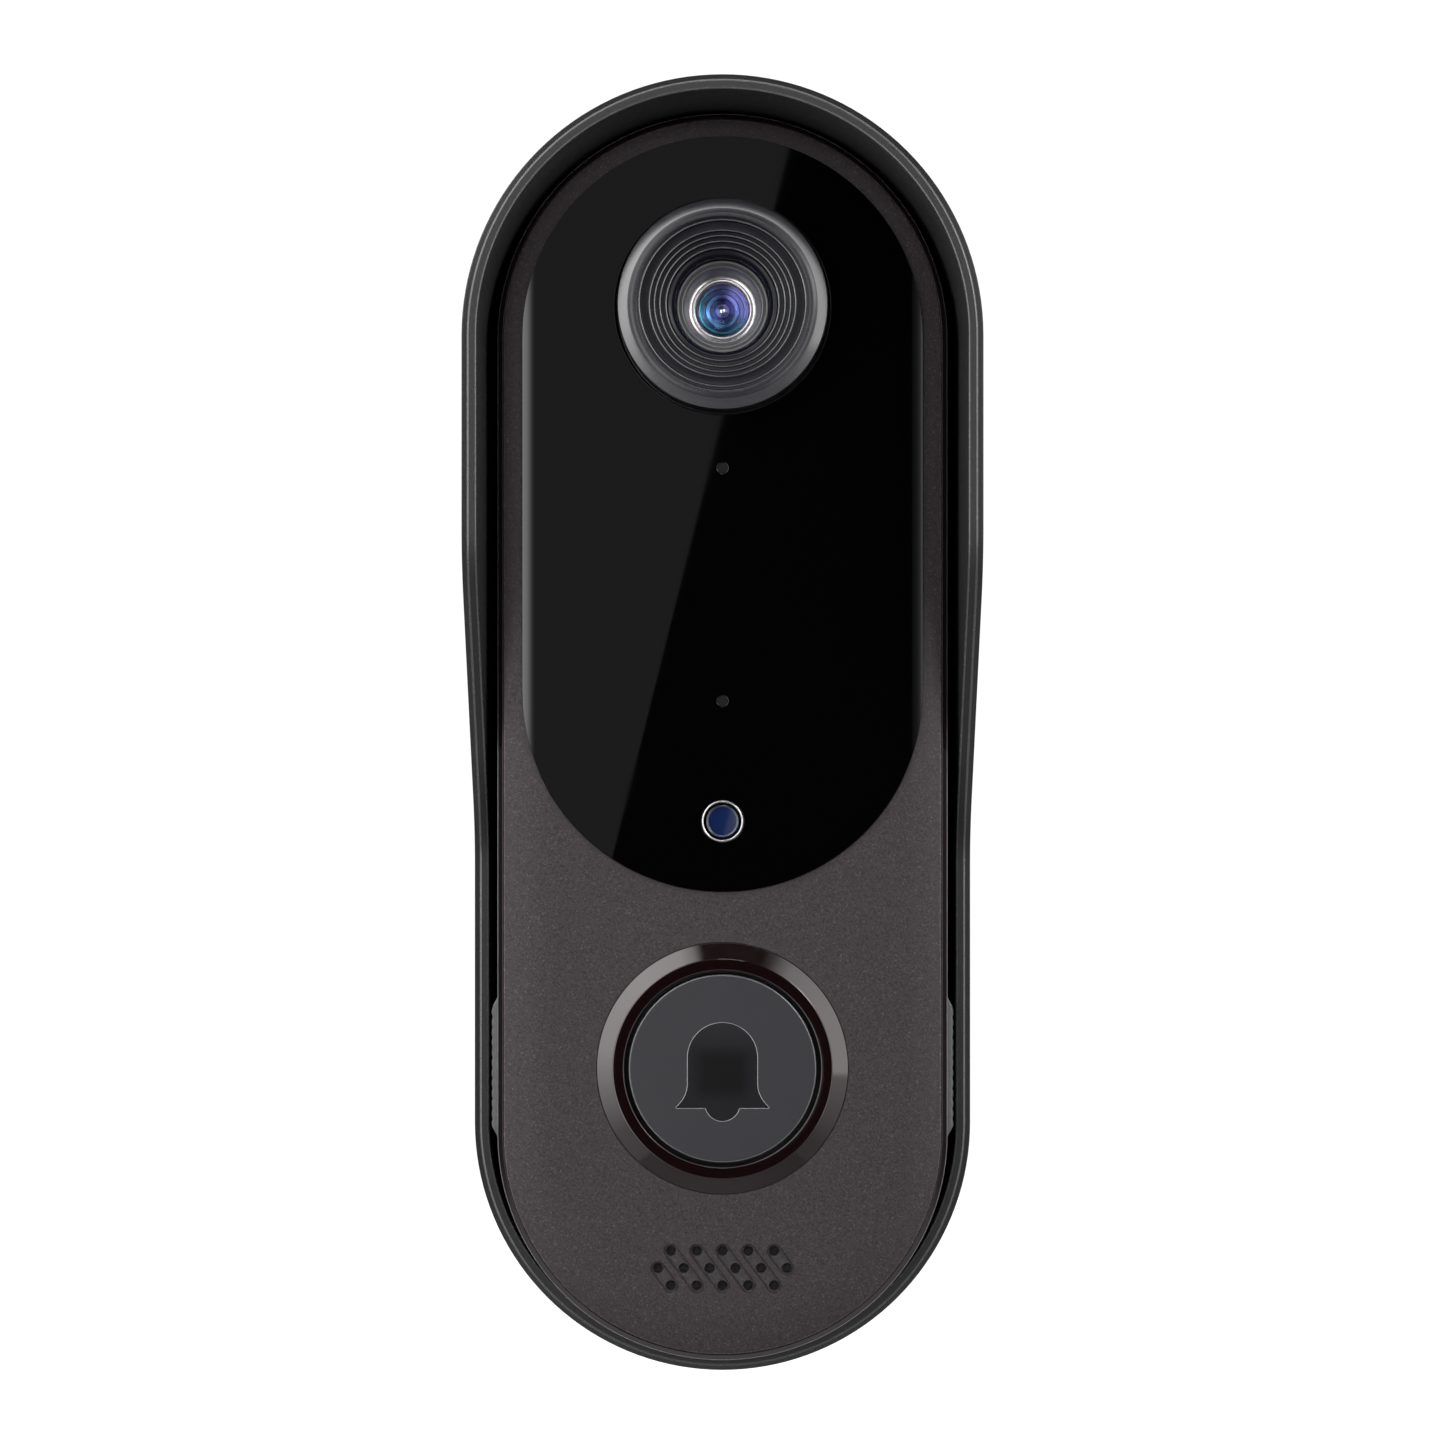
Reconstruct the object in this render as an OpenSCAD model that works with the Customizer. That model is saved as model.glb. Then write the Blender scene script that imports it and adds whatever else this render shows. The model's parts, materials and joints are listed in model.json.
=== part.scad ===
/* [Body] */
// Width of the doorbell's front
body_w = 52; // [51.6:0.1:52.4]
// Height of the doorbell's front
body_h = 144; // [143:0.5:146]
// Depth of the doorbell from its back to its front face
body_depth = 27; // [27:0.5:29]
// Wall thickness of the two housings
wall = 1.8; // [1.6:0.1:1.9]
// Thickness of the painted faceplate
faceplate_t = 1.4; // [1.2:0.1:1.6]
// Width of the gloss chamfer round the front, seen from the front
trim_w = 0.63; // [0.5:0.05:0.7]
// How far the faceplate falls back towards its edge
edge_fall = 0.45; // [0.3:0.05:0.5]

/* [Rain hood] */
// Width of the hood across its high rim
hood_w = 58.7; // [58.6:0.1:60]
// Depth of the hood's high rim from the wall
hood_high = 46; // [40:1:50]
// Depth of the hood's low rim from the wall
hood_low = 23; // [22:0.5:25]
// Wall thickness of the hood
hood_wall = 1.76; // [1.5:0.02:1.8]
// Growth of the hood's half width for each millimetre of depth
hood_draft = 0.0135; // [0.01:0.0005:0.015]
// Height at which the rim has come down to its low level
ramp_bottom = -15; // [-20:1:-10]
// Height at which the rim reaches its high level
ramp_top = 23.5; // [15:0.5:30]

/* [Glass panel] */
// Width of the glass panel
panel_w = 46.1; // [45:0.1:46.4]
// Height of the glass panel
panel_h = 87; // [85:0.5:88]
// Height of the panel's middle above the middle of the body
panel_y = 25.7; // [25.5:0.1:25.9]
// How far the glass stands out of the faceplate
panel_rise = 0.5; // [0.3:0.1:0.8]

/* [Camera] */
// Height of the lens above the middle of the body
lens_y = 49.6; // [49:0.1:50]
// Diameter of the raised bezel round the lens
bezel_d = 24.1; // [24:0.05:24.2]
// How far the bezel stands out of the glass
bezel_rise = 4.5; // [4:0.1:5]
// Depth of the lens glass below the face of the panel
lens_recess = 4.7; // [4.4:0.1:5]

/* [Button] */
// Height of the button's middle
button_y = -38.2; // [-38.6:0.1:-38]
// Diameter of the button cap
button_d = 21.7; // [21.5:0.05:21.8]
// Outside diameter of the gloss ring round the button
button_ring_d = 28.95; // [28.8:0.05:29]
// Travel of the button
button_travel = 0.4; // [0.3:0.05:0.4]

/* [Speaker] */
// Height of the middle row of the speaker grille
speaker_y = -61.3; // [-61.5:0.1:-61]
// Distance between grille holes along a row
grille_pitch = 2.98; // [2.9:0.02:3.1]
// Distance between the rows of grille holes
grille_row = 2; // [1.9:0.05:2.1]
// Diameter of a grille hole
grille_hole_d = 1.1; // [0.9:0.05:1.2]
// Width of the sunk groove that joins a column of grille holes
grille_groove_w = 1.55; // [1.4:0.05:1.7]

/* [Wall mounting] */
// Distance between the two wall screws
screw_spacing = 60; // [56:1:64]
// Diameter of the holes for the wall screws
screw_hole_d = 4.4; // [4:0.1:4.6]

/* [Hidden] */
$fn = 64;
eps = 0.01;
clear = 0.1;

// Depths, all measured out from the wall
hood_floor = 2;
bracket_top = 3.6;
back = 4;
face = back + body_depth;
back_in = back + wall;
plate_back = face - faceplate_t;
edge_face = face - edge_fall;
shell_in = plate_back - wall;
split_low = 21.8;
split_high = 22.2;
panel_front = face + panel_rise;
tape_t = 0.15;
panel_back = plate_back + tape_t;

// Outlines: each is a stadium, given by its end radius and half its straight length
body_r = body_w / 2;
body_half = body_h / 2 - body_r;
rear_r = body_r - 0.2;
rear_in_r = rear_r - wall;
front_in_r = body_r - wall;
plate_r = body_r - trim_w - 0.1;
plate_slope_w = 5.5;
panel_r = panel_w / 2;
panel_half = panel_h / 2 - panel_r;
panel_roll_w = 1.45;
hood_half = body_half - 0.8;
ramp_steps = 28;
ramp_ease = 0.2;
opening_w = 21;
opening_low = 9.5;
opening_high = 19.5;

// Wall bracket and the two snap posts that the doorbell plugs on to
bracket_r = 12;
bracket_half = 56;
post_r = 3;
post_top = 9.6;
post_ys = [-64.5, 50];
post_slot_w = 1.2;
post_boss_r = 4.6;

// Battery
cell_r = 9.2;
cell_l = 65;
cell_x = 9.5;
cell_y = -17;
cell_low = 6;
cell_gap = 0.2;
cell_cap_r = 3.4;
cell_cap_h = 0.6;
door_w = 39.2;
door_l = 75.6;
door_t = 1;
door_r = 4;
door_screws_at = [[12, -36.2], [12, 36.2]];
door_screw_r = 0.78;
door_screw_head_r = 1.6;
door_boss_r = 2.2;
door_boss_top = 9;
hatch_w = 2 * (cell_x + cell_r + cell_gap);
hatch_l = cell_l + 4;
hatch_r = 2;
door_seal_w = 0.3;
door_seal_gap = 0.03;
door_screw_head_h = 0.45;
contact_t = 0.5;
contact_w = 12;
contact_h = 14;

// Screws
screw_r = 0.85;
screw_head_r = 1.5;
screw_head_h = 1.2;
screw_slot_l = 1.9;
screw_slot_w = 0.5;
screw_slot_sink = 0.6;
sink_depth = 2.2;
boss_r = 2;
boss_gap = 0.4;
housing_bosses = [[21.8, -40], [21.8, 12], [17, 58]];
board_screws_at = [[17.5, 30], [7, 66]];

// Boards
main_low = 11.4;
main_t = 1.2;
main_top = main_low + main_t;
main_edge_y = 22.5;
main_r = 21.6;
processor_at = [-9.5, 33, 0];
processor_w = 9;
wifi_at = [8.5, 35, 0];
wifi_w = 12;
wifi_l = 13;
wifi_board_t = 0.8;
wifi_can_w = 11;
wifi_can_l = 9.6;
wifi_can_h = 1.8;
antenna_y = 60.6;
antenna_w = 18;
antenna_l = 2.6;
antenna_t = 0.3;
button_board_low = 25;
button_board_t = 0.8;
button_board_top = button_board_low + button_board_t;
button_board_w = 32;
button_board_y = [-51, 14];
ribbon_w = 8;
ribbon_t = 0.25;
ribbon_y = [10, 26];
ribbon_bend_y = 19.4;
socket_w = 10;
socket_l = 3;
socket_h = 1;
led_ring_in = 13.7;
led_ring_out = 20.4;
led_ring_low = 24;
led_ring_t = 0.8;
led_at_r = 17;
led_angles = [-60, 0, 60, 120, 180, 240];
led_w = 2.8;
led_h = 1.7;
led_dome_r = 1.1;
led_dome_h = 0.6;
led_window_r = 1.8;

// Camera
bezel_r = bezel_d / 2;
bezel_bore_r = 5.4;
bezel_flange_r = 13.3;
bezel_flange_low = 26.6;
bezel_flange_top = 27.4;
ridge_radii = [9.45, 8.3, 7.72, 7.1, 6.4];
ridge_drop = 0.34;
barrel_r = bezel_bore_r - clear;
barrel_stem_r = 4;
barrel_in_r = 2.6;
barrel_low = 16.6;
barrel_head_low = 24.6;
glass_r = 3.04;
glass_bulge = 0.7;
front_lens_t = 0.7;
inner_lens_r = barrel_in_r - 0.02;
ring_r = 3.9;
glass_top = panel_front - lens_recess;
holder_w = 15;
holder_base_top = 16.2;
holder_top = 22.6;

// Small windows in the glass
dot_r = 0.635;
light_sensor_y = 31;
mic_y = 4.15;
status_y = -9.7;
status_ring_r = 2.375;
status_ring_in_r = 2.17;
status_window_r = 1.87;
status_stem_r = 1.3;
light_pipe_r = 0.6;
mic_boot_r = 1.6;
mic_h = 1;

// Button
button_r = button_d / 2;
button_ring_r = button_ring_d / 2;
button_crest_r = 12.65;
button_lip_r = 11.42;
button_bore_r = 11.2;
button_tube_r = 12.9;
button_crest = face + 0.9;
button_top = face + 0.4;
button_skirt_in_r = 9.6;
button_skirt_low = 26.95;
button_flange_r = 11.9;
button_flange_top = shell_in - 0.15;
button_disc_low = 30.2;
stem_r = 1.6;
plunger_r = 0.9;
plunger_low = 26.65;
plunger_top = 27.75;
switch_w = 4.5;
switch_top = 27.1;

// Bell symbol, sunk into the button cap
bell_body_w = 8.1;
bell_base_w = 10.8;
bell_top = 5.3;
bell_shoulder = -1.9;
bell_base = -4.6;
bell_clapper_r = 2.05;
bell_clapper_low = -6.1;
bell_sink = 0.12;

// Speaker
speaker_r = 8.3;
speaker_low = 20;
speaker_top = 26.6;
speaker_rim = 1.2;
speaker_floor_t = 1.6;
magnet_r = 5;
grille_sink = 0.5;
sound_w = 18.5;
sound_l = 6.6;
sound_r = 2;
mesh_gap = 0.2;
mesh_t = 0.25;

// Charging port, reset key and their rubber cover, in the bottom end
cover_half_w = 8.5;
cover_low = 11.2;
cover_high = 18;
cover_t = 1.2;
cover_nail_gap = 0.4;
cover_hinge_y = -(body_half + rear_r - 0.8);
cover_hinge_h = 11.8;
cover_barrel_r = 0.55;
cover_barrel_l = 6.4;
port_x = -1.6;
port_w = 8.94;
port_h = 3.2;
port_mid = 14.8;
port_l = 7;
reset_x = 5.6;
reset_r = 0.8;
reset_key_l = 2.4;
reset_key_y = -(body_half + rear_in_r) + 1.7;
reset_gap = 0.45;
reset_switch_l = 2.4;
reset_switch_w = 3.4;
port_board_low = 11.8;
port_board_top = port_board_low + 0.8;
port_board_y = -65.2;
port_board_w = 15;
port_board_l = 6.4;
port_shell_t = 0.3;
port_cut_gap = 0.6;

// Side grips
grip_low_y = -46.8;
grip_high_y = -29.7;
grip_taper = 1.5;
grip_rise = 0.95;
grip_low = 9;
grip_high = 28.2;

// ---- Shared shapes ----

// The parts are drawn lying on their backs; this stands them up against the wall, facing -Y
module upright() {
    rotate([90, 0, 0]) children();
}

module stadium(r, half) {
    square([2 * r, 2 * half], center = true);
    for (side = [-1, 1]) {
        translate([0, side * half]) circle(r);
    }
}

module slab(r, half, low, high) {
    translate([0, 0, low]) linear_extrude(high - low) stadium(r, half);
}

module ring_slab(r, r_in, half, low, high) {
    difference() {
        slab(r, half, low, high);
        slab(r_in, half, low - eps, high + eps);
    }
}

module tapered_slab(r_low, r_high, half, low, high) {
    rise = high - low;
    for (side = [-1, 1]) {
        translate([0, side * half, low]) cylinder(r1 = r_low, r2 = r_high, h = rise);
    }
    translate([0, 0, low]) rotate([90, 0, 0]) linear_extrude(2 * half, center = true)
        polygon([[-r_low, 0], [r_low, 0], [r_high, rise], [-r_high, rise]]);
}

module disc(r, low, high) {
    translate([0, 0, low]) cylinder(r = r, h = high - low);
}

module tube(r, r_in, low, high) {
    difference() {
        disc(r, low, high);
        disc(r_in, low - eps, high + eps);
    }
}

module block(w, l, low, high) {
    translate([-w / 2, -l / 2, low]) cube([w, l, high - low]);
}

// A block whose four upright corners are rounded
module soft_block(w, l, r, low, high) {
    block(w - 2 * r, l, low, high);
    block(w, l - 2 * r, low, high);
    for (x = [-1, 1], y = [-1, 1]) {
        translate([x * (w / 2 - r), y * (l / 2 - r), 0]) disc(r, low, high);
    }
}

module at_y(y) {
    translate([0, y, 0]) children();
}

module mirrored_pairs(points) {
    for (p = points, side = [-1, 1]) {
        translate([side * p[0], p[1], 0]) children();
    }
}

// A pan-head screw pointing away from the wall, its head at the low end
module screw(head_low, tip) {
    difference() {
        disc(screw_head_r, head_low, head_low + screw_head_h);
        for (turn = [0, 90]) {
            rotate(turn) block(screw_slot_l, screw_slot_w, head_low - eps, head_low + screw_slot_sink);
        }
    }
    disc(screw_r - 0.02, head_low + screw_head_h - eps, tip);
}

module wall_screw_holes(low, high) {
    for (side = [-1, 1]) {
        at_y(side * screw_spacing / 2) disc(screw_hole_d / 2, low - eps, high + eps);
    }
}

// ---- Fixed to the wall ----

function hood_r(depth) = hood_w / 2 - hood_draft * (hood_high - depth);

// 0 to 1 along a straight ramp whose two ends are eased
function eased(t) = t < ramp_ease ? t * t / (2 * ramp_ease * (1 - ramp_ease))
    : t > 1 - ramp_ease ? 1 - (1 - t) * (1 - t) / (2 * ramp_ease * (1 - ramp_ease))
    : (t - ramp_ease / 2) / (1 - ramp_ease);

function ramp_point(t) = [ramp_bottom + t * (ramp_top - ramp_bottom),
    hood_low + eased(t) * (hood_high - hood_low)];

// Everything in front of the rim, which is high at the top and low at the bottom
module hood_front_cut() {
    far = body_h;
    over = hood_high + 1;
    ramp = [for (i = [0 : ramp_steps]) ramp_point(i / ramp_steps)];
    rotate([90, 0, 90]) linear_extrude(2 * body_w, center = true)
        polygon(concat([[-far, hood_low]], ramp, [[ramp_top, over], [-far, over]]));
}

// The notch in the hood's lower end that leaves the port cover free
module service_opening() {
    at_y(-(hood_half + hood_r(hood_low))) block(opening_w, 8, opening_low, opening_high);
}

module rain_hood() {
    color("#2b2d2c") upright() difference() {
        tapered_slab(hood_r(0), hood_r(hood_high), hood_half, 0, hood_high);
        tapered_slab(hood_r(hood_floor) - hood_wall, hood_r(hood_high + 1) - hood_wall, hood_half,
            hood_floor, hood_high + 1);
        hood_front_cut();
        wall_screw_holes(0, hood_floor);
        service_opening();
    }
}

module snap_post() {
    difference() {
        union() {
            disc(post_r, hood_floor, post_top - 1);
            translate([0, 0, post_top - 1]) cylinder(r1 = post_r, r2 = post_r - 0.8, h = 1);
        }
        block(3 * post_r, post_slot_w, bracket_top, post_top + eps);
    }
}

module wall_bracket() {
    color("#3b3c3f") upright() difference() {
        union() {
            slab(bracket_r, bracket_half, hood_floor, bracket_top);
            for (y = post_ys) {
                at_y(y) snap_post();
            }
        }
        wall_screw_holes(hood_floor, bracket_top);
    }
}

// ---- Rear housing and battery ----

module rear_shell() {
    difference() {
        union() {
            tapered_slab(rear_r - 1, rear_r, body_half, back, back + 1);
            slab(rear_r, body_half, back + 1, split_low);
        }
        slab(rear_in_r, body_half, back_in, split_low + eps);
    }
}

// The curved slice of the bottom end that the rubber cover fills
module cover_slice(r_in, r_out, half_w, low, high) {
    intersection() {
        at_y(-body_half) tube(r_out, r_in, low, high);
        at_y(-(body_half + rear_r)) block(2 * half_w, 12, low, high);
    }
}

module port_cut_outs() {
    cover_slice(rear_r - cover_t - clear, rear_r + 1, cover_half_w + clear, cover_low - 0.25,
        cover_high + cover_nail_gap);
    at_y(cover_hinge_y) translate([0, 0, cover_hinge_h]) rotate([0, 90, 0])
        cylinder(r = cover_barrel_r + clear, h = cover_barrel_l + 0.3, center = true);
    translate([port_x, -(body_half + rear_r), 0])
        block(port_w + 2 * port_cut_gap, 8, port_mid - port_h / 2 - port_cut_gap,
            port_mid + port_h / 2 + port_cut_gap);
    translate([reset_x, -(body_half + rear_r), port_mid]) rotate([90, 0, 0])
        cylinder(r = reset_r + clear, h = 8, center = true);
}

module rear_housing() {
    color("#3f4143") upright() difference() {
        union() {
            rear_shell();
            for (y = post_ys) {
                at_y(y) disc(post_boss_r, back, post_top + 0.9);
            }
            mirrored_pairs(housing_bosses) disc(boss_r, back, split_low);
            mirrored_pairs(board_screws_at) disc(boss_r, back, main_low);
            at_y(cell_y) mirrored_pairs(door_screws_at) disc(door_boss_r, back, door_boss_top);
        }
        for (y = post_ys) {
            at_y(y) disc(post_r + clear, back - eps, post_top + 0.3);
        }
        mirrored_pairs(housing_bosses) {
            disc(screw_r + clear, back - eps, split_low + eps);
            disc(screw_head_r + clear, back - eps, back + sink_depth);
        }
        mirrored_pairs(board_screws_at) disc(screw_r, back_in + 0.2, main_low + eps);
        at_y(cell_y) {
            soft_block(door_w + 2 * clear, door_l + 2 * clear, door_r, back - eps, back + door_t + clear);
            soft_block(hatch_w, hatch_l, hatch_r, back, back_in + eps);
            mirrored_pairs(door_screws_at) disc(door_screw_r + 0.02, back, door_boss_top - 1);
        }
        port_cut_outs();
    }
}

module side_grip() {
    slope = [[0, grip_high_y], [grip_rise, grip_high_y - grip_taper],
        [grip_rise, grip_low_y + grip_taper], [0, grip_low_y]];
    difference() {
        translate([rear_r, 0, grip_low]) linear_extrude(grip_high - grip_low) polygon(slope);
        translate([0, grip_low_y - 1, split_low])
            cube([body_r, grip_high_y - grip_low_y + 2, grip_high - split_low + 1]);
    }
}

module side_grips() {
    color("#707274") upright() for (side = [0, 1]) {
        mirror([side, 0, 0]) side_grip();
    }
}

module battery_door() {
    color("#3f4143") upright() at_y(cell_y) difference() {
        union() {
            soft_block(door_w, door_l, door_r, back, back + door_t);
            soft_block(hatch_w - 2 * door_seal_w, hatch_l - 2 * door_seal_w, hatch_r - door_seal_w,
                back, back_in);
        }
        mirrored_pairs(door_screws_at) {
            disc(door_screw_r + clear, back - eps, back_in);
            disc(door_screw_head_r + clear, back - eps, back + door_screw_head_h + 0.05);
        }
    }
}

module battery_door_seal() {
    inner = door_seal_w - door_seal_gap;
    color("#1a1a1a") upright() at_y(cell_y) difference() {
        soft_block(hatch_w - 2 * door_seal_gap, hatch_l - 2 * door_seal_gap, hatch_r - door_seal_gap,
            back + door_t + clear, back_in);
        soft_block(hatch_w - 2 * inner, hatch_l - 2 * inner, hatch_r - inner, back, back_in + eps);
    }
}

module battery_door_screws() {
    color("silver") upright() at_y(cell_y) mirrored_pairs(door_screws_at) {
        difference() {
            disc(door_screw_head_r, back - 0.2, back + door_screw_head_h);
            block(2.2, 0.4, back - 0.3, back + 0.05);
        }
        disc(door_screw_r, back + door_screw_head_h - 0.05, door_boss_top - 1.5);
    }
}

module battery_cell() {
    translate([0, 0, cell_low + cell_r]) rotate([90, 0, 0]) {
        cylinder(r = cell_r, h = cell_l - 2 * cell_cap_h, center = true);
        cylinder(r = cell_cap_r, h = cell_l / 2);
    }
}

module battery_cells() {
    color("#2f6f9f") upright() translate([0, cell_y, 0]) {
        translate([-cell_x, 0, 0]) battery_cell();
        translate([cell_x, 0, 0]) rotate(180) battery_cell();
    }
}

// A flat contact plate at each end of each cell
module battery_contacts() {
    color("gold") upright() for (x = [-cell_x, cell_x], side = [-1, 1]) {
        translate([x, cell_y + side * (cell_l / 2 + contact_t / 2 + 0.05), 0])
            block(contact_w, contact_t, cell_low + 2, cell_low + 2 + contact_h);
    }
}

module housing_seal() {
    color("#151515") upright() difference() {
        ring_slab(rear_r - 0.4, rear_in_r, body_half, split_low, split_high);
        mirrored_pairs(housing_bosses) disc(screw_r + clear, split_low - eps, split_high + eps);
    }
}

module housing_screws() {
    color("silver") upright() mirrored_pairs(housing_bosses)
        screw(back + sink_depth - screw_head_h, split_high + 4);
}

// ---- Front: shell, painted plate and glass ----

module front_shell_body() {
    difference() {
        union() {
            slab(body_r, body_half, split_high, edge_face - trim_w);
            tapered_slab(body_r, body_r - trim_w, body_half, edge_face - trim_w, edge_face);
        }
        slab(front_in_r, body_half, split_high - eps, shell_in);
        slab(plate_r + 0.02, body_half, plate_back, face + eps);
    }
}

module front_shell() {
    color("#1b1113") upright() difference() {
        union() {
            front_shell_body();
            mirrored_pairs(housing_bosses) disc(boss_r, split_high, shell_in + eps);
        }
        mirrored_pairs(housing_bosses) disc(screw_r, split_high - eps, split_high + 4.6);
        at_y(lens_y) disc(bezel_r + clear, shell_in - eps, plate_back + eps);
        at_y(lens_y) for (a = led_angles) {
            rotate(a) translate([led_at_r, 0, 0]) disc(led_window_r, shell_in - eps, plate_back + eps);
        }
        at_y(light_sensor_y) disc(light_pipe_r + 0.3, shell_in - eps, plate_back + eps);
        at_y(mic_y) disc(mic_boot_r + clear, shell_in - eps, plate_back + eps);
        at_y(status_y) disc(status_stem_r + clear, shell_in - eps, plate_back + eps);
        at_y(button_y) disc(button_tube_r + clear, shell_in - eps, plate_back + eps);
        at_y(speaker_y) soft_block(sound_w, sound_l, sound_r, shell_in - eps, plate_back + eps);
    }
}

// Start and end of each groove, in columns and rows of the grille: three holes long in the
// middle, two at each end
grille_grooves = [[-2.5, 0, 1], [-2, 1, 2], [-1, 1, 2], [0, 1, 2], [1, 1, 2], [2, 1, 1]];

function groove_hole(groove, i) =
    [(groove[0] + i / 2) * grille_pitch, speaker_y + (groove[1] - i) * grille_row];

module groove(p, q) {
    run = q - p;
    floor = face - grille_sink;
    for (end = [p, q]) {
        translate(end) disc(grille_groove_w / 2, floor, face + 1);
    }
    translate((p + q) / 2) rotate(atan2(run[1], run[0]))
        block(norm(run), grille_groove_w - 0.02, floor, face + 1);
}

module grille_cut() {
    for (g = grille_grooves) {
        groove(groove_hole(g, 0), groove_hole(g, g[2]));
        for (i = [0 : g[2]]) {
            translate(groove_hole(g, i)) disc(grille_hole_d / 2, plate_back - 1, face + 1);
        }
    }
}

module faceplate() {
    color("#433d3e") upright() difference() {
        union() {
            slab(plate_r, body_half, plate_back, edge_face);
            tapered_slab(plate_r, plate_r - plate_slope_w, body_half, edge_face, face);
        }
        at_y(panel_y) slab(panel_r + 0.05, panel_half, plate_back - eps, face + eps);
        at_y(button_y) disc(button_ring_r + clear, plate_back - eps, face + eps);
        grille_cut();
    }
}

module panel_holes(low, high) {
    at_y(lens_y) disc(bezel_r + 0.42, low, high);
    at_y(light_sensor_y) disc(dot_r, low, high);
    at_y(mic_y) disc(dot_r, low, high);
    at_y(status_y) disc(status_ring_r + 0.05, low, high);
}

module panel_tape() {
    color("#101010") upright() difference() {
        at_y(panel_y) ring_slab(panel_r - 0.1, panel_r - 2, panel_half, plate_back, panel_back);
        at_y(lens_y) for (a = led_angles) {
            rotate(a) translate([led_at_r, 0, 0]) disc(led_window_r, plate_back - eps, panel_back + eps);
        }
    }
}

module lens_panel() {
    color("#08080a") upright() difference() {
        at_y(panel_y) {
            slab(panel_r, panel_half, panel_back, face);
            tapered_slab(panel_r, panel_r - panel_roll_w, panel_half, face, panel_front);
        }
        panel_holes(panel_back - eps, panel_front + eps);
    }
}

// ---- Camera ----

// Steps down from the crest to the bore: one ledge for each ridge
function ridge_steps() = [for (i = [0 : len(ridge_radii) - 1], low = [0, 1])
    [ridge_radii[i], panel_front + bezel_rise - 0.1 - ridge_drop * (i + low)]];

module bezel_profile() {
    foot = [[bezel_bore_r, bezel_flange_low], [bezel_flange_r, bezel_flange_low],
        [bezel_flange_r, bezel_flange_top], [bezel_r, bezel_flange_top], [bezel_r, panel_front]];
    crest = [[bezel_r - 1.3, panel_front + bezel_rise - 0.3], [bezel_r - 1.75, panel_front + bezel_rise],
        [bezel_r - 2.3, panel_front + bezel_rise]];
    mouth = [[bezel_bore_r + 0.45, panel_front + 2.5], [bezel_bore_r + 0.1, panel_front + 1.9],
        [bezel_bore_r, panel_front + 1.2]];
    polygon(concat(foot, crest, ridge_steps(), mouth));
}

module lens_bezel() {
    color("#3c3c41") upright() at_y(lens_y) rotate_extrude() bezel_profile();
}

module bezel_gasket() {
    color("#151515") upright() at_y(lens_y) tube(bezel_flange_r, bezel_r + clear, bezel_flange_top, shell_in);
}

module lens_barrel() {
    rim = panel_front - 0.1;
    seat = glass_top - front_lens_t - glass_bulge;
    color("#35363a") upright() at_y(lens_y) rotate_extrude() polygon([
        [barrel_r, rim], [barrel_r - 0.25, rim], [ring_r + 0.5, rim - 1.4], [ring_r, glass_top + 0.5],
        [ring_r, seat], [barrel_in_r, seat], [barrel_in_r, barrel_low], [barrel_stem_r, barrel_low],
        [barrel_stem_r, barrel_head_low], [barrel_r, barrel_head_low]]);
}

module lens_retaining_ring() {
    color("#c9c6c8") upright() at_y(lens_y) rotate_extrude() polygon([
        [ring_r, glass_top - 0.6], [ring_r, glass_top + 0.3], [ring_r - 0.25, glass_top + 0.4],
        [glass_r + 0.2, glass_top - 0.1], [glass_r + 0.02, glass_top - 0.6]]);
}

// A lens element: a disc of glass with one or two spherical faces
module element(r, low, high, bulge) {
    ball = (r * r + bulge * bulge) / (2 * bulge);
    disc(r, low, high);
    intersection() {
        disc(r, high - eps, high + bulge);
        translate([0, 0, high + bulge - ball]) sphere(ball);
    }
}

module front_lens() {
    rim = glass_top - glass_bulge;
    color("#2a4a78") upright() at_y(lens_y) element(glass_r, rim - front_lens_t, rim, glass_bulge);
}

module aperture_stop() {
    color("#101012") upright() at_y(lens_y) tube(inner_lens_r, 1.1, 21, 21.3);
}

module rear_lens() {
    color("#3a5a88") upright() at_y(lens_y) element(inner_lens_r, 17.4, 18.8, 0.8);
}

module lens_holder() {
    color("#151517") upright() at_y(lens_y) difference() {
        union() {
            block(holder_w, holder_w, main_top, holder_base_top);
            disc(barrel_stem_r + 1.4, holder_base_top - eps, holder_top);
        }
        disc(barrel_stem_r + 0.03, holder_base_top, holder_top + eps);
        block(10, 10, main_top - eps, holder_base_top - 1);
        disc(3, holder_base_top - 1 - eps, holder_base_top + eps);
    }
}

module image_sensor() {
    color("#1c2a22") upright() at_y(lens_y) block(8, 8, main_top, main_top + 1.1);
}

// ---- Boards and radio ----

module main_outline() {
    intersection() {
        slab(main_r, body_half, main_low, main_top);
        at_y(main_edge_y + body_w) block(2 * body_w, 2 * body_w, main_low, main_top);
    }
}

module main_board() {
    color("#0e4a2a") upright() difference() {
        main_outline();
        mirrored_pairs(housing_bosses) disc(boss_r + boss_gap, main_low - eps, main_top + eps);
        mirrored_pairs(board_screws_at) disc(screw_r + clear, main_low - eps, main_top + eps);
        at_y(post_ys[1]) disc(post_boss_r + 0.3, main_low - eps, main_low + 0.9);
    }
}

module main_board_screws() {
    color("silver") upright() mirrored_pairs(board_screws_at) {
        disc(screw_head_r, main_top, main_top + screw_head_h);
        disc(screw_r - 0.02, back_in + 0.4, main_top + eps);
    }
}

module processor() {
    color("#202225") upright() translate(processor_at)
        block(processor_w, processor_w, main_top, main_top + 1);
}

module wifi_module() {
    can_low = main_top + wifi_board_t;
    color("#b9bbbe") upright() translate(wifi_at) {
        block(wifi_w, wifi_l, main_top, can_low);
        block(wifi_can_w, wifi_can_l, can_low - eps, can_low + wifi_can_h);
    }
}

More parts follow.
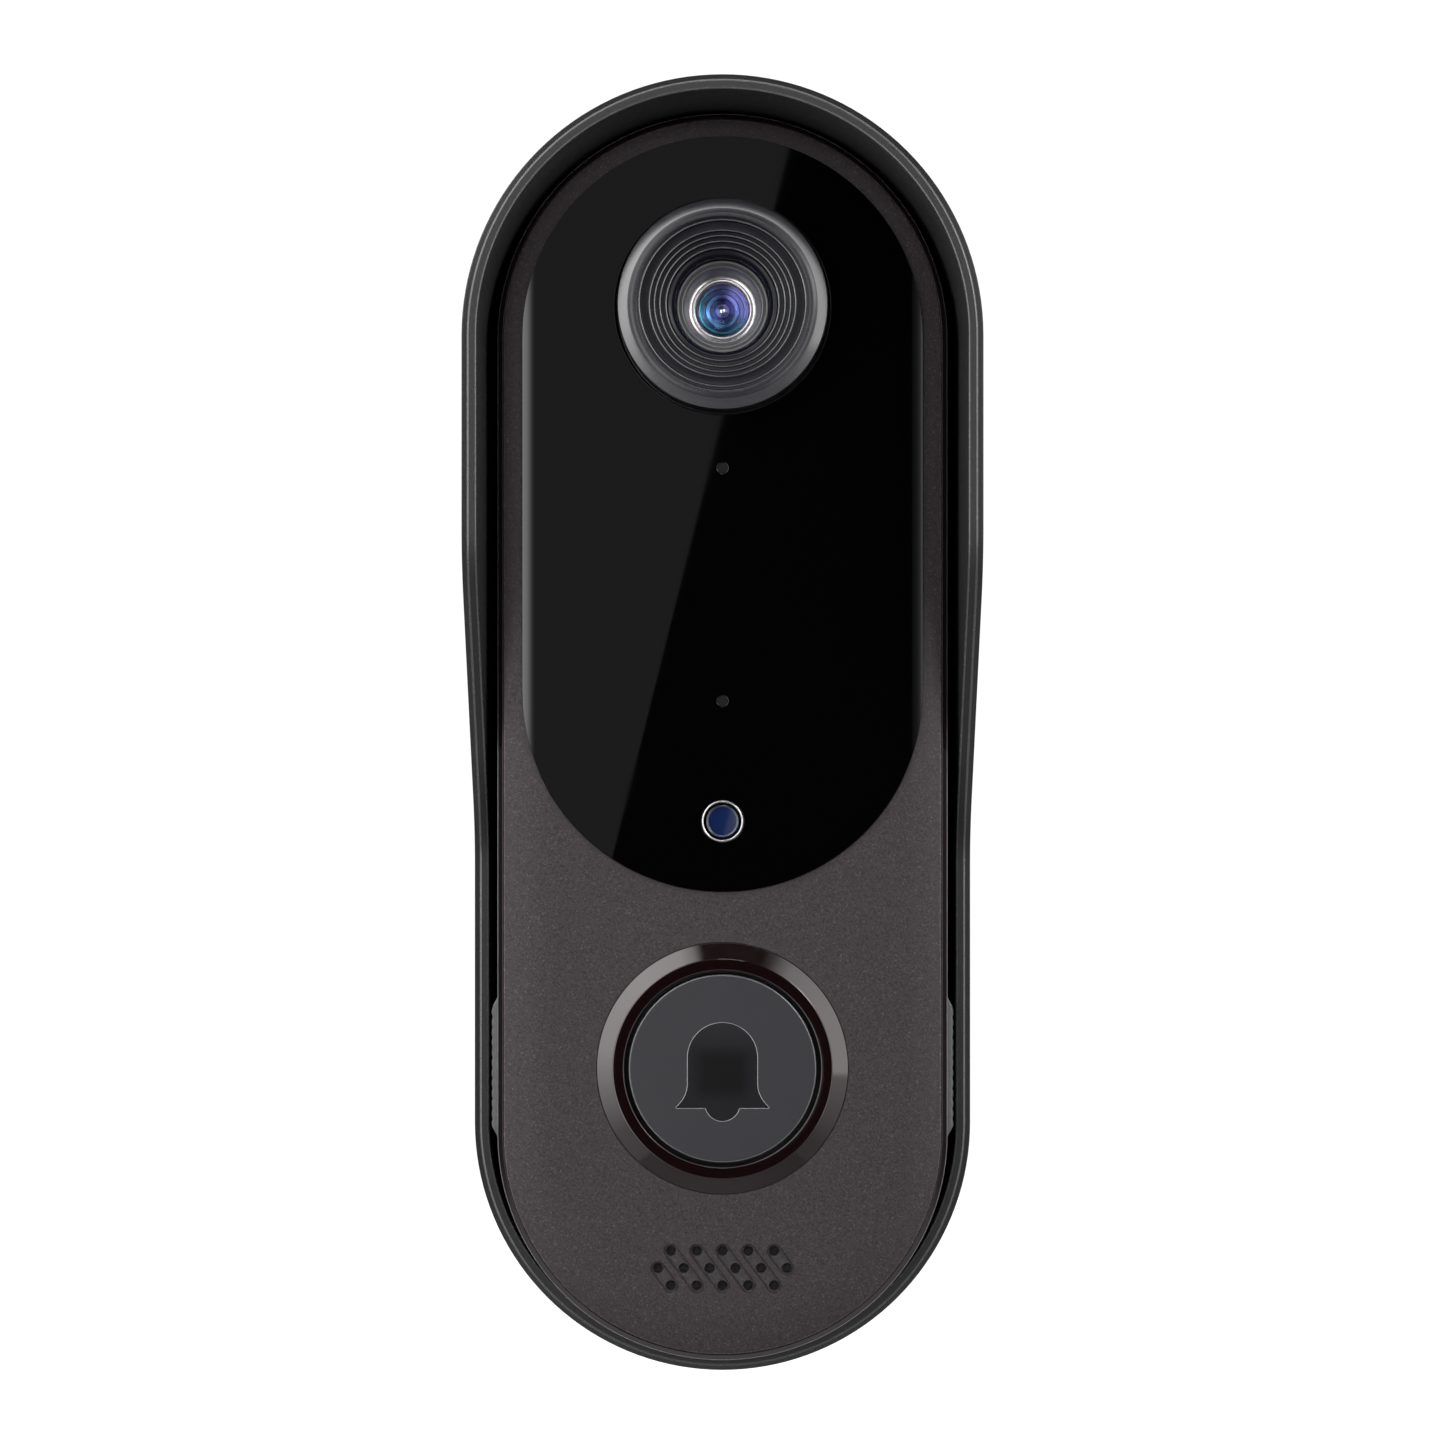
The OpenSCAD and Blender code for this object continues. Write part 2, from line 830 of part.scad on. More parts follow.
module wifi_antenna() {
    color("#c58f3c") upright() at_y(antenna_y)
        block(antenna_w, antenna_l, main_top, main_top + antenna_t);
}

module led_ring_board() {
    color("#0e4a2a") upright() difference() {
        at_y(lens_y) tube(led_ring_out, led_ring_in, led_ring_low, led_ring_low + led_ring_t);
        mirrored_pairs(housing_bosses) disc(boss_r + boss_gap, led_ring_low - eps, led_ring_low + 1);
    }
}

module infrared_leds() {
    low = led_ring_low + led_ring_t;
    color("#d8d6c8") upright() at_y(lens_y) for (a = led_angles) {
        rotate(a) translate([led_at_r, 0, 0]) {
            block(led_w, led_w, low, low + led_h);
            disc(led_dome_r, low + led_h - eps, low + led_h + led_dome_h);
        }
    }
}

module light_sensor() {
    low = led_ring_low + led_ring_t;
    color("#3a3a3c") upright() at_y(light_sensor_y) {
        block(2, 2, low, low + 0.8);
        disc(light_pipe_r, low + 0.8 - eps, panel_back);
    }
}

module microphone() {
    color("#c7b26a") upright() at_y(mic_y) difference() {
        block(3.4, 2.8, button_board_top, button_board_top + mic_h);
        disc(0.3, button_board_top + mic_h / 2, button_board_top + mic_h + eps);
    }
}

module microphone_boot() {
    color("#1c1c1c") upright() at_y(mic_y) tube(mic_boot_r, 0.5, button_board_top + mic_h, panel_back);
}

module status_light_ring() {
    color("#c9c9cc") upright() at_y(status_y)
        tube(status_ring_r, status_ring_in_r, panel_back, panel_front + 0.08);
}

module status_light_window() {
    color("#12225a") upright() at_y(status_y) {
        disc(status_window_r, panel_back, panel_front - 0.05);
        disc(status_stem_r, button_board_top + 1, panel_back + eps);
    }
}

module status_led() {
    color("#e9e6cf") upright() at_y(status_y) block(1.6, 0.8, button_board_top, button_board_top + 0.6);
}

module button_board() {
    length = button_board_y[1] - button_board_y[0];
    color("#0e4a2a") upright() at_y((button_board_y[0] + button_board_y[1]) / 2)
        soft_block(button_board_w, length, 2, button_board_low, button_board_top);
}

// ---- Button ----

module button_ring() {
    color("#1e1315") upright() at_y(button_y) rotate_extrude() polygon([
        [button_bore_r, shell_in], [button_tube_r, shell_in], [button_tube_r, plate_back],
        [button_ring_r, plate_back], [button_ring_r, face + 0.05], [button_crest_r, button_crest],
        [button_lip_r, button_crest], [button_bore_r, button_crest - 0.3]]);
}

module bell() {
    half = bell_body_w / 2;
    base = bell_base_w / 2;
    flare = 0.9;
    translate([0, bell_top - half]) circle(half);
    polygon([[-half, bell_top - half], [-half, bell_shoulder], [-half - 0.35, bell_shoulder - flare],
        [-base + 0.5, bell_base + 0.7], [-base, bell_base], [base, bell_base],
        [base - 0.5, bell_base + 0.7], [half + 0.35, bell_shoulder - flare], [half, bell_shoulder],
        [half, bell_top - half]]);
    intersection() {
        translate([0, bell_clapper_low + bell_clapper_r]) circle(bell_clapper_r);
        translate([0, bell_base - 2]) square([6, 4.2], center = true);
    }
}

module button_cap() {
    edge = 0.35;
    color("#3b3b3f") upright() at_y(button_y) difference() {
        union() {
            rotate_extrude() polygon([[0, button_disc_low], [button_skirt_in_r, button_disc_low],
                [button_skirt_in_r, button_skirt_low], [button_flange_r - 0.9, button_skirt_low],
                [button_flange_r, button_skirt_low + 0.05], [button_flange_r, button_flange_top],
                [button_r, button_flange_top], [button_r, button_top - edge],
                [button_r - edge, button_top], [0, button_top]]);
            disc(stem_r, plunger_top, button_disc_low + eps);
        }
        translate([0, 0, button_top - bell_sink]) linear_extrude(1) bell();
    }
}

module button_spring() {
    color("#b8b8b0") upright() at_y(button_y)
        tube(button_skirt_in_r + 1.1, button_skirt_in_r + 0.1, button_board_top, button_skirt_low);
}

module tact_switch() {
    color("#2b2b2d") upright() at_y(button_y) difference() {
        block(switch_w, switch_w, button_board_top, switch_top);
        disc(plunger_r + 0.05, plunger_low - button_travel - 0.05, switch_top + eps);
    }
}

module switch_plunger() {
    color("#d8d3c2") upright() at_y(button_y) disc(plunger_r, plunger_low, plunger_top);
}

// ---- Cable between the boards ----

module ribbon_cable() {
    low = main_top + socket_h;
    high = button_board_top + socket_h;
    t = ribbon_t;
    color("#b98a3a") upright() rotate([90, 0, 90]) linear_extrude(ribbon_w, center = true) polygon([
        [ribbon_bend_y - t, low], [ribbon_y[1], low], [ribbon_y[1], low + t], [ribbon_bend_y, low + t],
        [ribbon_bend_y, high + t], [ribbon_y[0], high + t], [ribbon_y[0], high],
        [ribbon_bend_y - t, high]]);
}

module ribbon_connectors() {
    color("#e8e4d6") upright() {
        at_y(ribbon_y[1] - socket_l / 2) block(socket_w, socket_l, main_top, main_top + socket_h);
        at_y(ribbon_y[0] + socket_l / 2)
            block(socket_w, socket_l, button_board_top, button_board_top + socket_h);
    }
}

// ---- Speaker ----

module speaker_mesh() {
    color("#1d1b1c") upright() at_y(speaker_y) soft_block(sound_w - 2 * mesh_gap,
        sound_l - 2 * mesh_gap, sound_r - mesh_gap, plate_back - mesh_t, plate_back);
}

module speaker_gasket() {
    color("#1a1a1a") upright() at_y(speaker_y)
        tube(speaker_r, speaker_r - speaker_rim - 0.2, speaker_top, shell_in);
}

module speaker_frame() {
    color("#2a2a2c") upright() at_y(speaker_y) difference() {
        disc(speaker_r, speaker_low, speaker_top);
        disc(speaker_r - speaker_rim, speaker_low + speaker_floor_t, speaker_top + eps);
        disc(magnet_r, speaker_low - eps, speaker_low + speaker_floor_t + eps);
    }
}

module speaker_cone() {
    rim = speaker_r - speaker_rim - 0.05;
    color("#4a4038") upright() at_y(speaker_y) rotate_extrude() polygon([
        [0, speaker_top - 1.6], [2.6, speaker_top - 2.2], [5.4, speaker_top - 1.1], [rim, speaker_top - 0.6],
        [rim, speaker_top - 0.35], [5.4, speaker_top - 0.85], [2.6, speaker_top - 1.95],
        [0, speaker_top - 1.35]]);
}

module speaker_magnet() {
    color("#a9abae") upright() at_y(speaker_y) disc(magnet_r - 0.02, speaker_low - 1.4, speaker_low + 1.9);
}

// ---- Charging port ----

module port_board() {
    color("#0e4a2a") upright() at_y(port_board_y)
        block(port_board_w, port_board_l, port_board_low, port_board_top);
}

module charging_port() {
    mouth = -(body_half + rear_in_r) + 1.2;
    low = port_mid - port_h / 2 + 0.02;
    high = port_mid + port_h / 2;
    color("#b4b6b9") upright() translate([port_x, mouth + port_l / 2, 0]) difference() {
        block(port_w, port_l, low, high);
        at_y(-1) block(port_w - 2 * port_shell_t, port_l, low + port_shell_t, high - port_shell_t);
    }
    color("#222222") upright() translate([port_x, mouth + port_l / 2 + 0.5, 0])
        block(6.6, port_l - 2, port_mid - 0.35, port_mid + 0.35);
}

module port_cover() {
    color("#1d1e1f") upright() {
        cover_slice(rear_r - cover_t, rear_r - 0.1, cover_half_w, cover_hinge_h, cover_high);
        at_y(cover_hinge_y) translate([0, 0, cover_hinge_h]) rotate([0, 90, 0])
            cylinder(r = cover_barrel_r, h = cover_barrel_l, center = true);
        translate([port_x, -(body_half + rear_r - cover_t) + 0.3, 0])
            block(port_w - 0.4, 1, port_mid - 1.2, port_mid + 1.2);
    }
}

module reset_key() {
    color("#d0d0d0") upright() translate([reset_x, reset_key_y, port_mid])
        rotate([90, 0, 0]) cylinder(r = reset_r, h = reset_key_l, center = true);
}

module reset_switch() {
    front = reset_key_y + reset_key_l / 2 + reset_gap;
    color("#2b2b2d") upright() translate([reset_x - 0.4, front + reset_switch_l / 2, 0])
        block(reset_switch_w, reset_switch_l, port_board_top, port_mid + 1.4);
}

rain_hood();
wall_bracket();
rear_housing();
side_grips();
battery_door();
battery_door_seal();
battery_door_screws();
battery_cells();
battery_contacts();
housing_seal();
housing_screws();
front_shell();
faceplate();
panel_tape();
lens_panel();
lens_bezel();
bezel_gasket();
lens_barrel();
lens_retaining_ring();
front_lens();
aperture_stop();
rear_lens();
lens_holder();
image_sensor();
main_board();
main_board_screws();
processor();
wifi_module();
wifi_antenna();
led_ring_board();
infrared_leds();
light_sensor();
microphone();
microphone_boot();
status_light_ring();
status_light_window();
status_led();
button_ring();
button_cap();
button_spring();
tact_switch();
switch_plunger();
button_board();
ribbon_cable();
ribbon_connectors();
speaker_mesh();
speaker_gasket();
speaker_frame();
speaker_cone();
speaker_magnet();
port_board();
charging_port();
port_cover();
reset_key();
reset_switch();
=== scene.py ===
import json
import math

import bmesh
import bpy
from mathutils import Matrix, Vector


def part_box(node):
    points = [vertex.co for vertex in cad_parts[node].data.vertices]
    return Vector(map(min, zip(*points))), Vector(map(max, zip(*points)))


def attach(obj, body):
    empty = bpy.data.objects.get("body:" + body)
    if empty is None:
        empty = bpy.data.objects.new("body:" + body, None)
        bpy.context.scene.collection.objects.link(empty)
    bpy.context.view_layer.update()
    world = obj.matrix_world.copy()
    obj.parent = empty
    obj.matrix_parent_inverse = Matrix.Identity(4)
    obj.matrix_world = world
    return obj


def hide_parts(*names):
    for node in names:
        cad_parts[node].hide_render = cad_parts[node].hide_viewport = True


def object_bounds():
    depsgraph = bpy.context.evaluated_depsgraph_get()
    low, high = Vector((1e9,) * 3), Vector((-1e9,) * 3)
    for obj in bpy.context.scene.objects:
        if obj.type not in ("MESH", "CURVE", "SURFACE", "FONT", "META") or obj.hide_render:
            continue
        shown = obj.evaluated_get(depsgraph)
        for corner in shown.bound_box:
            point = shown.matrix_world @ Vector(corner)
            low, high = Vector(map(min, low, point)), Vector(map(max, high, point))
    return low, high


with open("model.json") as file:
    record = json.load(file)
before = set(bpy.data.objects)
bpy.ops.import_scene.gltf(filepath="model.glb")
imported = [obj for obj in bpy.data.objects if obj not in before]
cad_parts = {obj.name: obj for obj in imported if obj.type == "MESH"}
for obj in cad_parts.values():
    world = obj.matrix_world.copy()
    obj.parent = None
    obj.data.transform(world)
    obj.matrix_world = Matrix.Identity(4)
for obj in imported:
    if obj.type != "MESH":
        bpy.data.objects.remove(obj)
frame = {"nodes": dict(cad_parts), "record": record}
cad_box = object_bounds()

# Lengths in this script are millimetres, as (across, up, out from the wall), until at() turns
# them into the frame's metres.
MM = 0.001


def at(across, up, out):
    return Vector((across * MM, -out * MM, up * MM))


def extent(node):
    """A CAD node's (left, right, bottom, top, back, front) in millimetres."""
    low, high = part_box(node)
    return tuple(v / MM for v in (low.x, high.x, low.z, high.z, -high.y, -low.y))


# ---- Sizes read from the frame ----

hood_left, hood_right, hood_bottom, hood_top, _, hood_high = extent("rain_hood")
HOOD_R = (hood_right - hood_left) / 2
HOOD_HALF = hood_top - HOOD_R

_, body_right, _, body_top, shell_back, TRIM_FRONT = extent("front_shell")
BODY_R = body_right
BODY_HALF = body_top - body_right

_, plate_right, _, _, plate_back, FACE = extent("faceplate")
_, panel_right, panel_bottom, panel_top, panel_back, PANEL_FRONT = extent("lens_panel")
PANEL_R = panel_right
PANEL_MID = (panel_bottom + panel_top) / 2
PANEL_HALF = (panel_top - panel_bottom) / 2 - PANEL_R

_, bezel_flange_r, bezel_bottom, bezel_top, bezel_back, BEZEL_FRONT = extent("lens_bezel")
LENS_UP = (bezel_bottom + bezel_top) / 2
_, glass_r, _, _, lens_back, lens_front = extent("front_lens")
_, ring_outer, _, _, ring_back, _ = extent("lens_retaining_ring")
_, barrel_r, _, _, barrel_back, barrel_front = extent("lens_barrel")

_, BUTTON_RING_R, button_bottom, button_top, ring_back_out, BUTTON_CREST = extent("button_ring")
BUTTON_UP = (button_bottom + button_top) / 2
_, cap_flange_r, _, _, cap_back, CAP_FRONT = extent("button_cap")
_, status_r, status_bottom, status_top, _, status_front = extent("status_light_ring")
STATUS_UP = (status_bottom + status_top) / 2
_, window_r, _, _, window_back, window_front = extent("status_light_window")
_, grip_right, grip_bottom, grip_top, grip_back, grip_front = extent("side_grips")
SENSOR_UP = sum(extent("light_sensor")[2:4]) / 2
MIC_UP = sum(extent("microphone")[2:4]) / 2

# ---- Outlines and surfaces ----
# An outline is a closed list of stations (x, z, ux, uz): a point at distance r from a station is
# (x + r ux, z + r uz), so one outline serves for every offset of a rounded shape.


def capsule(a, b, steps=48, along=1):
    """The outline round the line from a to b, anticlockwise; a circle if they are the same."""
    heading = math.atan2(b[1] - a[1], b[0] - a[0]) if a != b else math.pi / 2
    stations = []
    for start, end, turn in ((a, b, heading - math.pi / 2), (b, a, heading + math.pi / 2)):
        for i in range(steps):
            angle = turn + math.pi * i / steps
            stations.append((end[0], end[1], math.cos(angle), math.sin(angle)))
        ux, uz = math.cos(turn + math.pi), math.sin(turn + math.pi)
        for i in range(along if a != b else 0):
            t = i / along
            stations.append((end[0] + (start[0] - end[0]) * t, end[1] + (start[1] - end[1]) * t, ux, uz))
    return stations


def circle(x, z, steps=64):
    return capsule((x, z), (x, z), steps)


def drawn(points):
    """The outline through a list of points, with each station facing outwards."""
    stations = []
    count = len(points)
    for i, (x, z) in enumerate(points):
        back, ahead = points[i - 1], points[(i + 1) % count]
        ax, az = x - back[0], z - back[1]
        bx, bz = ahead[0] - x, ahead[1] - z
        la, lb = math.hypot(ax, az) or 1, math.hypot(bx, bz) or 1
        tx, tz = ax / la + bx / lb, az / la + bz / lb
        length = math.hypot(tx, tz) or 1
        stations.append((x, z, tz / length, -tx / length))
    return stations


def bend(a, b, c, t):
    """The point a share t of the way along the curve from a to c that b pulls towards itself."""
    return tuple((1 - t) ** 2 * a[i] + 2 * t * (1 - t) * b[i] + t * t * c[i] for i in (0, 1))


def softened(points, reach, steps=4, closed=False):
    """The line through points with each corner rounded off; reach is how far the curve starts from it."""
    rounded = []
    count = len(points)
    for i, p in enumerate(points):
        size = reach[i] if isinstance(reach, (list, tuple)) else reach
        if size == 0 or (not closed and i in (0, count - 1)):
            rounded.append(p)
            continue
        ends = []
        for q in (points[i - 1], points[(i + 1) % count]):
            gap = math.dist(p, q) or 1
            share = min(size, 0.48 * gap) / gap
            ends.append((p[0] + (q[0] - p[0]) * share, p[1] + (q[1] - p[1]) * share))
        rounded += [bend(ends[0], p, ends[1], k / steps) for k in range(steps + 1)]
    return rounded


def add_sweep(bm, outline, profile, closed=False, slot=0):
    """Carries a profile of (r, out) points round an outline. profile may be a function of a station,
    and slot a list with the material slot of each stretch of it."""
    rows = []
    for station in outline:
        x, z, ux, uz = station
        line = profile(station) if callable(profile) else profile
        rows.append([bm.verts.new(at(x + r * ux, z + r * uz, out)) for r, out in line])
    width = len(rows[0])
    for i, row in enumerate(rows):
        after = rows[(i + 1) % len(rows)]
        for j in range(width if closed else width - 1):
            k = (j + 1) % width
            face = bm.faces.new((row[j], after[j], after[k], row[k]))
            face.material_index = slot[j] if isinstance(slot, list) else slot
    return rows


def add_fill(bm, loops, slot=0):
    """A flat surface inside the first loop of vertices and outside the others."""
    pairs = [pair for loop in loops for pair in zip(loop, loop[1:] + loop[:1])]
    edges = [bm.edges.get(pair) or bm.edges.new(pair) for pair in pairs]
    made = bmesh.ops.triangle_fill(bm, use_beauty=True, use_dissolve=False, edges=edges)
    for item in made["geom"]:
        if isinstance(item, bmesh.types.BMFace):
            item.material_index = slot


def close_ends(bm, rows, first=0, last=0):
    """Fills the two open ends of a sweep, each with its own material slot."""
    add_fill(bm, [[row[0] for row in rows]], first)
    add_fill(bm, [[row[-1] for row in rows]], last)


def add_plate(bm, outer, holes, low, high, back=True):
    """A plate with rounded front edges. outer and each hole are (outline, radius, edge)."""
    fronts, backs = [], []
    for i, (outline, r, edge) in enumerate([outer] + holes):
        inward = -edge if i == 0 else edge
        line = softened([(r, low), (r, high), (r + inward, high)], [0, edge, 0], steps=3)
        line = [p for k, p in enumerate(line) if k == 0 or p != line[k - 1]]
        rows = add_sweep(bm, outline, line)
        backs.append([row[0] for row in rows])
        fronts.append([row[-1] for row in rows])
    add_fill(bm, fronts)
    if back:
        add_fill(bm, backs)


def turned(up, corners, reach=0, steps=5, sides=64, closed=False):
    """A new mesh: a line of (r, out) corners, rounded off and turned about the axis at a height."""
    bm = bmesh.new()
    add_sweep(bm, circle(0, up, sides), softened(corners, reach, steps, closed), closed=closed)
    return bm


def keep_flats_flat(obj):
    """Shades wide faces flat, so that only the narrow ones between look rounded."""
    modifier = obj.modifiers.new("normals", "WEIGHTED_NORMAL")
    modifier.keep_sharp = True
    modifier.weight = 90


def placed(name, data):
    """A new object in the scene."""
    obj = bpy.data.objects.new(name, data)
    bpy.context.scene.collection.objects.link(obj)
    return obj


def solid(name, bm, materials=()):
    """A new object made of bm."""
    mesh = bpy.data.meshes.new(name)
    bm.to_mesh(mesh)
    bm.free()
    for material in materials:
        mesh.materials.append(material)
    return placed(name, mesh)


def piece(name, bm, materials, stands_for=(), sharp=32, body="doorbell"):
    """Makes an object of bm that rides on a body and stands for some CAD nodes."""
    bmesh.ops.remove_doubles(bm, verts=bm.verts, dist=1e-7)
    bmesh.ops.recalc_face_normals(bm, faces=bm.faces)
    obj = solid(name, bm, materials if isinstance(materials, list) else [materials])
    obj.data.polygons.foreach_set("use_smooth", [True] * len(obj.data.polygons))
    obj.data.set_sharp_from_angle(angle=math.radians(sharp))
    keep_flats_flat(obj)
    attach(obj, body)
    if stands_for:
        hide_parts(*stands_for)
    return obj


def with_radius(obj, up):
    """Each face of a turned piece, with its distance from the axis in millimetres."""
    for polygon in obj.data.polygons:
        yield polygon, math.hypot(polygon.center.x, polygon.center.z - up * MM) / MM


# ---- Materials ----

MATERIALS = {}


class Paint:
    """A Principled material and short ways to wire it. Coordinates are metres in the object's frame."""

    def __init__(self, name, color, roughness, metallic=0.0, **sockets):
        self.material = bpy.data.materials.new(name)
        MATERIALS[name] = self.material
        self.material.use_nodes = True
        self.tree = self.material.node_tree
        self.shader = self.tree.nodes["Principled BSDF"]
        self.coordinates = self.tree.nodes.new("ShaderNodeTexCoord").outputs["Object"]
        self.set("Base Color", (*color, 1))
        self.set("Roughness", roughness)
        self.set("Metallic", metallic)
        for socket, value in sockets.items():
            self.set(socket.replace("_", " "), value)
        self.normal = None

    def set(self, socket, value):
        self.shader.inputs[socket].default_value = value

    def link(self, source, target):
        self.tree.links.new(source, target)

    def feed(self, value, socket):
        """Wires a socket to another one, or sets it to a constant."""
        if isinstance(value, bpy.types.NodeSocket):
            self.link(value, socket)
        else:
            socket.default_value = value

    def node(self, kind, **inputs):
        made = self.tree.nodes.new(kind)
        for name, value in inputs.items():
            self.feed(value, made.inputs[name.replace("_", " ")])
        return made

    def math(self, operation, a, b=0.0, c=0.0):
        made = self.tree.nodes.new("ShaderNodeMath")
        made.operation = operation
        for i, value in enumerate((a, b, c)):
            self.feed(value, made.inputs[i])
        return made.outputs[0]

    def noise(self, scale, detail=2.0, stretch=(1, 1, 1)):
        mapping = self.node("ShaderNodeMapping", Vector=self.coordinates, Scale=stretch)
        made = self.node("ShaderNodeTexNoise", Vector=mapping.outputs[0], Scale=scale, Detail=detail)
        return made.outputs[0]

    def remap(self, value, low, high, to_low, to_high):
        made = self.node("ShaderNodeMapRange", Value=value, From_Min=low, From_Max=high, To_Min=to_low,
                         To_Max=to_high)
        return made.outputs[0]

    def mix(self, factor, a, b):
        made = self.tree.nodes.new("ShaderNodeMix")
        made.data_type = "RGBA"
        for name, value in (("Factor_Float", factor), ("A_Color", a), ("B_Color", b)):
            socket = next(s for s in made.inputs if s.identifier == name)
            self.feed((*value, 1) if isinstance(value, tuple) else value, socket)
        return next(s for s in made.outputs if s.identifier == "Result_Color")

    def ramp(self, value, stops):
        """The colour that stops, a list of (place, colour), give for a value from 0 to 1."""
        made = self.node("ShaderNodeValToRGB", Fac=value)
        elements = made.color_ramp.elements
        elements.remove(elements[1])
        elements[0].position, elements[0].color = stops[0][0], (*stops[0][1], 1)
        for place, color in stops[1:]:
            elements.new(place).color = (*color, 1)
        return made.outputs[0]

    def bump(self, height, depth):
        """Adds relief depth millimetres deep where height goes from 0 to 1."""
        made = self.node("ShaderNodeBump", Height=height, Distance=depth * MM, Strength=1.0)
        if self.normal:
            self.link(self.normal, made.inputs["Normal"])
        self.normal = made.outputs[0]
        self.link(self.normal, self.shader.inputs["Normal"])

    def axes(self):
        """The three coordinates, as sockets."""
        return self.node("ShaderNodeSeparateXYZ", Vector=self.coordinates).outputs

    def color(self, source):
        self.link(source, self.shader.inputs["Base Color"])

    def rough(self, source):
        self.link(source, self.shader.inputs["Roughness"])

    def from_axis(self, up):
        """Distance in millimetres from an axis that runs out from the wall at a height."""
        axes = self.axes()
        dz = self.math("SUBTRACT", axes[2], up * MM)
        square = self.math("ADD", self.math("MULTIPLY", axes[0], axes[0]), self.math("MULTIPLY", dz, dz))
        return self.math("MULTIPLY", self.math("SQRT", square), 1 / MM)


def shade(color, factor):
    return tuple(c * factor for c in color)


def moulded(name, color, roughness, grain=0.3, depth=0.01, **sockets):
    """Moulded plastic: grain is the size of its texture in millimetres, depth how deep it is."""
    paint = Paint(name, color, roughness, **sockets)
    fine = paint.noise(1 / (grain * MM), 3)
    broad = paint.noise(60, 2)
    paint.bump(fine, depth)
    mottled = paint.mix(fine, shade(color, 0.75), shade(color, 1.25))
    paint.color(paint.mix(paint.remap(broad, 0.35, 0.65, 0.0, 0.35), mottled, shade(color, 1.2)))
    polish = paint.noise(1 / (3 * grain * MM), 2)
    paint.rough(paint.remap(polish, 0.3, 0.7, roughness - 0.06, roughness + 0.06))
    return paint.material


def gloss(name, color, roughness, **sockets):
    """Polished plastic with faint orange peel and uneven polish."""
    paint = Paint(name, color, roughness, **sockets)
    paint.bump(paint.noise(350, 1), 0.004)
    paint.rough(paint.remap(paint.noise(900, 3), 0.3, 0.7, roughness * 0.7, roughness * 1.4))
    paint.color(paint.mix(paint.noise(120, 2), shade(color, 0.85), shade(color, 1.15)))
    return paint.material


def satin(name, color, roughness, **sockets):
    """Smooth plastic with a soft sheen and only the faintest unevenness."""
    paint = Paint(name, color, roughness, **sockets)
    paint.rough(paint.remap(paint.noise(400, 3), 0.3, 0.7, roughness * 0.92, roughness * 1.08))
    paint.color(paint.mix(paint.noise(500, 3), shade(color, 0.8), shade(color, 1.2)))
    return paint.material


def bronze_paint(name, color, sparkle=0.4):
    """Metallic paint: fine flakes, each with its own tone and polish, and a few that sparkle."""
    paint = Paint(name, color, 0.42, metallic=0.3, IOR=1.42)
    flakes = paint.node("ShaderNodeTexVoronoi", Vector=paint.coordinates, Scale=6000.0)
    flake = paint.node("ShaderNodeSeparateColor", Color=flakes.outputs["Color"])
    tone = paint.mix(flake.outputs[1], shade(color, 0.5), shade(color, 1.5))
    tone = paint.mix(paint.remap(paint.noise(2600, 3), 0.3, 0.7, 0.0, 0.5), tone, shade(color, 1.15))
    speck = paint.remap(flake.outputs[0], 0.9, 1.0, 0.0, sparkle)
    paint.color(paint.mix(speck, tone, shade(color, 4.5)))
    paint.rough(paint.remap(flake.outputs[2], 0.0, 1.0, 0.36, 0.5))
    paint.bump(flake.outputs[1], 0.003)
    paint.bump(paint.noise(1400, 2), 0.004)
    return paint.material


def panel_glass():
    paint = Paint("panel_glass", (0.0006, 0.0006, 0.0007), 0.02, IOR=1.5)
    paint.rough(paint.remap(paint.noise(45, 4), 0.4, 0.75, 0.012, 0.035))
    paint.bump(paint.noise(30, 1), 0.0015)
    return paint.material


def turned_metal(name, color, roughness, up):
    """Metal with very fine rings round an axis, as a lathe leaves them."""
    paint = Paint(name, color, roughness, metallic=1.0)
    rings = paint.math("SINE", paint.math("MULTIPLY", paint.from_axis(up), 62.0))
    paint.bump(rings, 0.0003)
    paint.rough(paint.remap(paint.noise(2500, 2), 0.3, 0.7, roughness * 0.7, roughness * 1.4))
    paint.color(paint.mix(paint.noise(700, 2), shade(color, 0.88), color))
    return paint.material


def plain_metal(name, color, roughness, stretch=(1, 1, 1)):
    """Metal with streaks and uneven polish; stretch draws the streaks out."""
    paint = Paint(name, color, roughness, metallic=1.0)
    streaks = paint.noise(1500, 3, stretch)
    paint.bump(streaks, 0.002)
    paint.rough(paint.remap(streaks, 0.3, 0.7, roughness * 0.75, roughness * 1.3))
    paint.color(paint.mix(paint.noise(300, 2), shade(color, 0.85), color))


def seal_rubber():
    color = (0.012, 0.012, 0.012)
    paint = Paint("seal_rubber", color, 0.75)
    speckle = paint.noise(4200, 4)
    paint.bump(speckle, 0.012)
    paint.color(paint.mix(speckle, shade(color, 0.7), shade(color, 1.5)))
    paint.rough(paint.remap(paint.noise(260, 2), 0.3, 0.7, 0.67, 0.85))


def circuit_board():
    """Green solder mask over faint copper tracks, with plated holes."""
    mask, track = (0.004, 0.06, 0.024), (0.012, 0.12, 0.045)
    paint = Paint("circuit_board", mask, 0.3)
    tracks = paint.node("ShaderNodeTexBrick", Vector=paint.coordinates, Scale=420.0, Mortar_Size=0.08)
    holes = paint.node("ShaderNodeTexVoronoi", Vector=paint.coordinates, Scale=330.0)
    plated = paint.remap(holes.outputs["Distance"], 0.1, 0.13, 1.0, 0.0)
    paint.color(paint.mix(plated, paint.mix(tracks.outputs["Fac"], mask, track), (0.55, 0.42, 0.18)))
    paint.bump(tracks.outputs["Fac"], 0.01)


